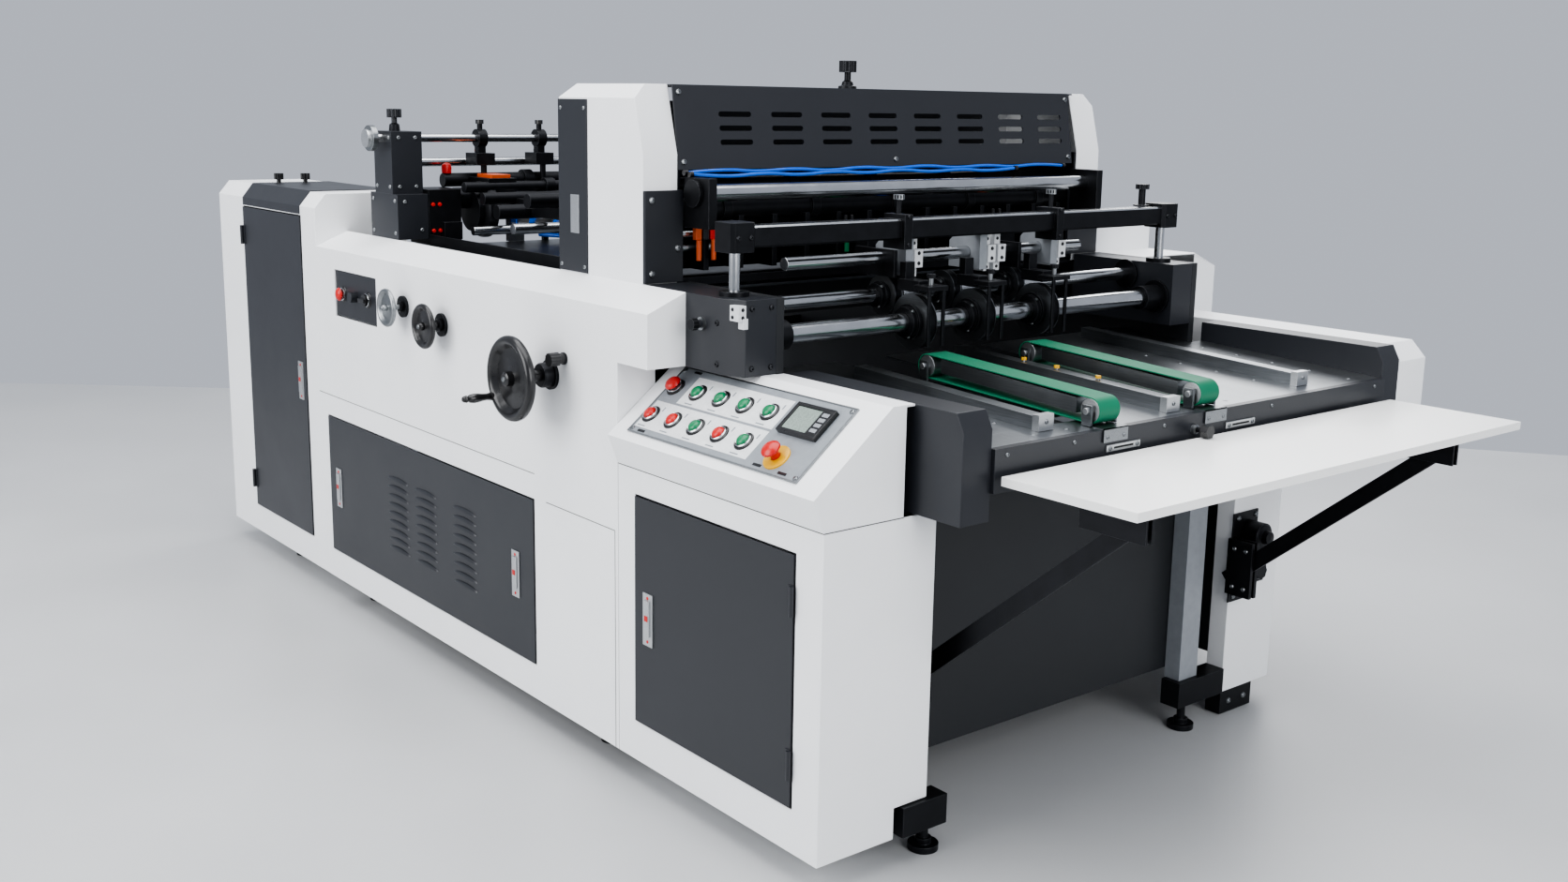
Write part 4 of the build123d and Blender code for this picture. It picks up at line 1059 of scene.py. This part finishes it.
class MACHINE_OT_delivery(bpy.types.Operator):
    """Delivery deck, belts, rollers, guides, stays and the fold-down board"""

    bl_idname = "machine.delivery"
    bl_label = "Delivery table"

    def execute(self, context):
        for node, finish in (
                ("delivery_deck", "steel"), ("delivery_belts", "belt"), ("front_rollers", "aluminium"),
                ("rear_rollers", "aluminium"), ("sheet_guides", "steel"), ("stay_clamps", "black"),
                ("board_stays", "black")):
            dress(node, finish)
        dress("fold_board", "board", 1.2, [
            ("black", ((1630, 1795), y, (750, 805.5))) for y in ((330, 365), (1370, 1405))]
            + [("zinc", ((1460, 1490), (360, 1520), (803, 816)))])
        dress("front_rail", "panel", 1.2, [
            ("aluminium", ((1466.5, 1472), y, (824, 842))) for y in ((612, 722), (1007, 1117))]
            + [("black", ((1466.5, 1510), (880, 920), (820, 860)))])
        self.add_rail_fittings()
        self.add_deck_fittings()
        self.add_leg_fittings()
        return {"FINISHED"}

    def add_rail_fittings(self):
        """Steel tongues under the belts, dark strips of painted shade for the slots of the adjusting plates,
        screws and the knob.
        """
        bm = bmesh.new()
        for y in (604, 934):
            add_box(bm, (1440, 1470), (y, y + 74), (872, 874.5), 0)
            add_box(bm, (1467.5, 1470), (y, y + 74), (846, 874.5), 0)
            add_screws(bm, 1470, (y + 12, y + 62), 856, ALONG, 4, 1)
        for y in (615, 1010):
            # A dark strip in each adjusting plate: painted shade where its slot is.
            add_box(bm, (1469.6, 1470.5), (y + 22, y + 82), (831, 835), 2)
            add_screws(bm, 1470, (y + 10, y + 94), 833, ALONG, 5, 1)
        add_screws(bm, 1466, (330, 520, 800, 990, 1180, 1600), 858, ALONG, 4.5, 1)
        add_knob(bm, facing(1491, 900, 839, ALONG), 15, 18, 6, 3)
        add_turned(bm, facing(1466, 900, 839, ALONG), [(6, 10), (10, 8), (11, 0)], 1)
        make_piece("rail_fittings", bm, ["steel", "zinc", "dark_rubber_and_shade", "black_plastic"])

    def add_deck_fittings(self):
        """Sunk screws of the deck plates, end blocks of the guides and their brass-coloured knobs."""
        bm = bmesh.new()
        screw = [(0.01, 0.5), (2, 0.5), (2, 1.1), (5, 0.8), (5.4, 0)]
        for x in range(1000, 1440, 105):
            for y in (330, 452, 548, 1072, 1330, 1560):
                add_turned(bm, facing(x, y, deck_height(x) - 0.2), screw, 1, 12)
        for x, y in ((1398, 480), (1398, 1362), (1420, 852)):
            z = deck_height(x)
            add_box(bm, (x - 4, x + 14), (y - 5, y + 39), (z, z + 33), 0)
            add_screw(bm, (x + 14, y + 17, z + 18), ALONG, 5, 1)
        for x in (1010, 1110, 1230):
            z = deck_height(x) + 29
            add_rod(bm, x, 869, (z, z + 5), 4, 1)
            add_knob(bm, facing(x, 869, z + 4), 6.5, 6, 8, 2)
        make_piece("deck_fittings", bm, ["aluminium", "zinc", "yellow"], edge=0.6 * MM)

    def add_leg_fittings(self):
        """Lock cylinder, clamp screws and plate screws beside the far stay, and bolts of the foot boxes."""
        bm = bmesh.new()
        add_rod(bm, (1250, 1296), 1452, 470, 34, 0, segments=32)
        add_turned(bm, facing(1296, 1452, 470, ALONG), [(0.01, 20), (16, 18), (18, 4), (30, 2), (31, 0)])
        add_box(bm, (1250, 1284), (1400, 1480), (352, 420))
        add_knob(bm, facing(1284, 1440, 386, ALONG), 22, 22, 8)
        add_screws(bm, 1250, (1408, 1480), (314, 514), ALONG, 7, 1)
        add_screws(bm, (1270, 1302), 1370.5, (352, 448), OUT, 6, 1)
        add_screws(bm, 1244, (1430, 1492), 33, ALONG, 8, 1)
        make_piece("leg_fittings", bm, ["black", "zinc"], edge=sizes().edge)


class MACHINE_OT_feeder(bpy.types.Operator):
    """Suction heads, air cylinder, rollers and air hoses"""

    bl_idname = "machine.feeder"
    bl_label = "Feeder"

    # Where each hose is held: along the machine, across it and height.
    routes = {
        "long_air_hose": [
            (604, 206, 1345), (606, 300, 1352), (603, 400, 1344), (607, 505, 1351), (604, 610, 1343),
            (607, 715, 1352), (603, 820, 1345), (606, 925, 1353), (604, 1030, 1344), (607, 1135, 1351),
            (603, 1240, 1344), (606, 1340, 1352), (604, 1430, 1346)],
        "short_air_hose": [
            (618, 210, 1342), (615, 305, 1334), (619, 410, 1343), (615, 515, 1335), (618, 620, 1344),
            (614, 725, 1336), (618, 830, 1345), (615, 935, 1336), (619, 1040, 1343), (616, 1140, 1335),
            (618, 1230, 1342)],
    }

    def execute(self, context):
        dress("feeder_head", "black", others=[
            ("chrome", ((-802, -772), (189, 1511), (1298, 1326))),
            ("aluminium", ((-640, -380.5), (452, 488), (1132, 1168))),
            ("chrome", ((-380, -299), (460, 480), (1140, 1160)))])
        for name, route in self.routes.items():
            self.add_hose(name, route)
        self.add_head_fittings()
        self.add_works()
        return {"FINISHED"}

    def add_hose(self, name, route):
        """An air hose that lies loose from one fitting to the other."""
        curve = bpy.data.curves.new(name, "CURVE")
        curve.dimensions = "3D"
        curve.bevel_depth = sizes().hose / 2
        curve.bevel_resolution = 4
        line = curve.splines.new("NURBS")
        line.points.add(len(route) - 1)
        for point, place in zip(line.points, route):
            point.co = (*at(*place), 1)
        line.order_u = 3
        line.use_endpoint_u = True
        line.resolution_u = 8
        curve.materials.append(FINISHES["hose"])
        hose = bpy.data.objects.new(name, curve)
        bpy.context.scene.collection.objects.link(hose)
        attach(hose, BODY_OF["air_hoses"])
        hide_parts("air_hoses")

    def add_head_fittings(self):
        """Rubber suckers, knobs and caps of the heads, the cylinder's bands and the hoses' fittings."""
        sucker = [(8, -2), (9, 4), (16, 10), (15, 13), (20, 19)]
        bm = bmesh.new()
        for y in (402, 599, 850, 1101, 1298):
            add_turned(bm, facing(-707, y, 1134, (0, 0, -1)), sucker)
            add_knob(bm, facing(-727, y, 1424), 12, 12, 10, 1)
            add_rod(bm, (-748, -740), y, 1346, 8, 2 if y in (402, 1101) else 1)
        for x, radius, finish in (((-632, -600), 25, 3), ((-600, -520), 22, 4), ((-520, -498), 26, 3),
                                  ((-498, -392), 22, 4), ((-392, -376), 25, 3)):
            add_rod(bm, x, 470, 1150, radius, finish)
        for x, z, ys in ((604, 1345, (204, 1432)), (618, 1342, (208, 1232))):
            for y, side in zip(ys, (-1, 1)):
                add_rod(bm, x, (y, y + side * 10), z, 6.5, 1)
        make_piece("feeder_fittings", bm, ["dark_rubber_and_shade", "black_plastic", "orange", "hose", "aluminium"])

    def add_works(self):
        """Blower, rollers, belt guard and rods between the feeder's pillars, and the pillars' screws."""
        bm = bmesh.new()
        rollers = ((-742, 1262, 20, 0), (-676, 1214, 30, 0), (-610, 1248, 15, 0), (-560, 1128, 13, 1),
                   (-500, 1222, 17, 0), (-420, 1190, 20, 0), (-330, 1150, 15, 1), (-250, 1230, 20, 0))
        plates = (560, 860, 1160)
        add_rollers(bm, rollers, (286, 1504), plates, 15, 8)
        for y in plates:
            add_box(bm, (-756, -226), (y - 5, y + 5), (1140, 1232))
            for x in (-640, -240):
                add_box(bm, (x, x + 16), (y - 8, y + 8), (DECK, 1150))
        for x, y, z in (((-640, 236), (1500, 1507), (DECK, 1256)), ((-636, 236), (190, 196), (DECK, 1116)),
                        ((-764, -640), (192, 292), (DECK, 1242)), ((-640, -626), (232, 288), (1100, 1150)),
                        ((-720, -600), (360, 450), (1190, 1272)), ((-700, -560), (640, 1380), (1150, 1206))):
            add_box(bm, x, y, z)
        blower = [(0.01, 34), (20, 34), (24, 26), (66, 24), (78, 18), (82, 8), (82, -8), (0.01, -10)]
        add_turned(bm, facing(-656, 372, 1182, OUT), blower, 0, 40)
        add_box(bm, (-640, -246), (386, 398), (1176, 1222))
        add_box(bm, (-600, -246), (520, 527), (1206, 1216), 1)
        add_box(bm, (-700, -610), (376, 436), (1272, 1282), 2)
        add_turned(bm, facing(-742, 300, 1282), [(14, 0), (15, 16), (12, 26), (0.01, 31)], 3, 20)
        for x, y, finish in ((-340, 470, 4), (-300, 500, 5), (-380, 540, 4), (-560, 500, 5)):
            add_rod(bm, (x, x + 70), (y, y + 30), 1110, 6, finish)
        for y in (205, 225):
            for z in (1126, 1200):
                add_turned(bm, facing(-640, y, z, ALONG), [(0.01, 6), (5, 5), (6, 0)], 3, 12)
        finishes = ["black", "chrome", "orange", "red", "green", "hose"]
        make_piece("feeder_works", bm, finishes, edge=sizes().edge)
        bm = bmesh.new()
        for x, heights in (((-770, -686), (1250, 1386)), ((-800, -658), (1212, 1122))):
            for z in heights:
                add_screws(bm, x, PANEL_IN, z, OUT, 6)
        for z in (1250, 1386):
            add_screws(bm, -670, (120, 170), z, ALONG, 6)
        for y, z in ((120, 1210), (170, 1130)):
            add_screw(bm, (-641, y, z), ALONG, 6)
        add_rod(bm, -727, (56, 72), 1383, 36, 0, segments=40)
        add_rod(bm, -727, (54.5, 56.5), 1383, 9, 1)
        make_piece("pillar_fittings", bm, ["zinc", "dark_rubber_and_shade"], edge=MM)


PIECES = (
    MACHINE_OT_stage, MACHINE_OT_casings, MACHINE_OT_panels, MACHINE_OT_frame, MACHINE_OT_console,
    MACHINE_OT_handwheels, MACHINE_OT_tooling, MACHINE_OT_delivery, MACHINE_OT_feeder,
)


class MACHINE_PT_pieces(bpy.types.Panel):
    """The machine's colours, sizes and pieces"""

    bl_idname = "MACHINE_PT_pieces"
    bl_label = "Creasing machine"
    bl_space_type = "VIEW_3D"
    bl_region_type = "UI"
    bl_category = "Machine"

    def draw(self, context):
        for settings in (context.scene.machine_colours, context.scene.machine_sizes):
            box = self.layout.box()
            for name in settings.__annotations__:
                box.prop(settings, name)
        for operator in PIECES:
            self.layout.operator(operator.bl_idname)


CLASSES = (MachineColours, MachineSizes, *PIECES, MACHINE_PT_pieces)


def register():
    for item in CLASSES:
        bpy.utils.register_class(item)
    bpy.types.Scene.machine_colours = bpy.props.PointerProperty(type=MachineColours)
    bpy.types.Scene.machine_sizes = bpy.props.PointerProperty(type=MachineSizes)


def unregister():
    del bpy.types.Scene.machine_sizes
    del bpy.types.Scene.machine_colours
    for item in reversed(CLASSES):
        bpy.utils.unregister_class(item)


def main():
    register()
    make_finishes()
    for operator in PIECES:
        group, name = operator.bl_idname.split(".")
        getattr(getattr(bpy.ops, group), name)()


if __name__ == "__main__":
    main()
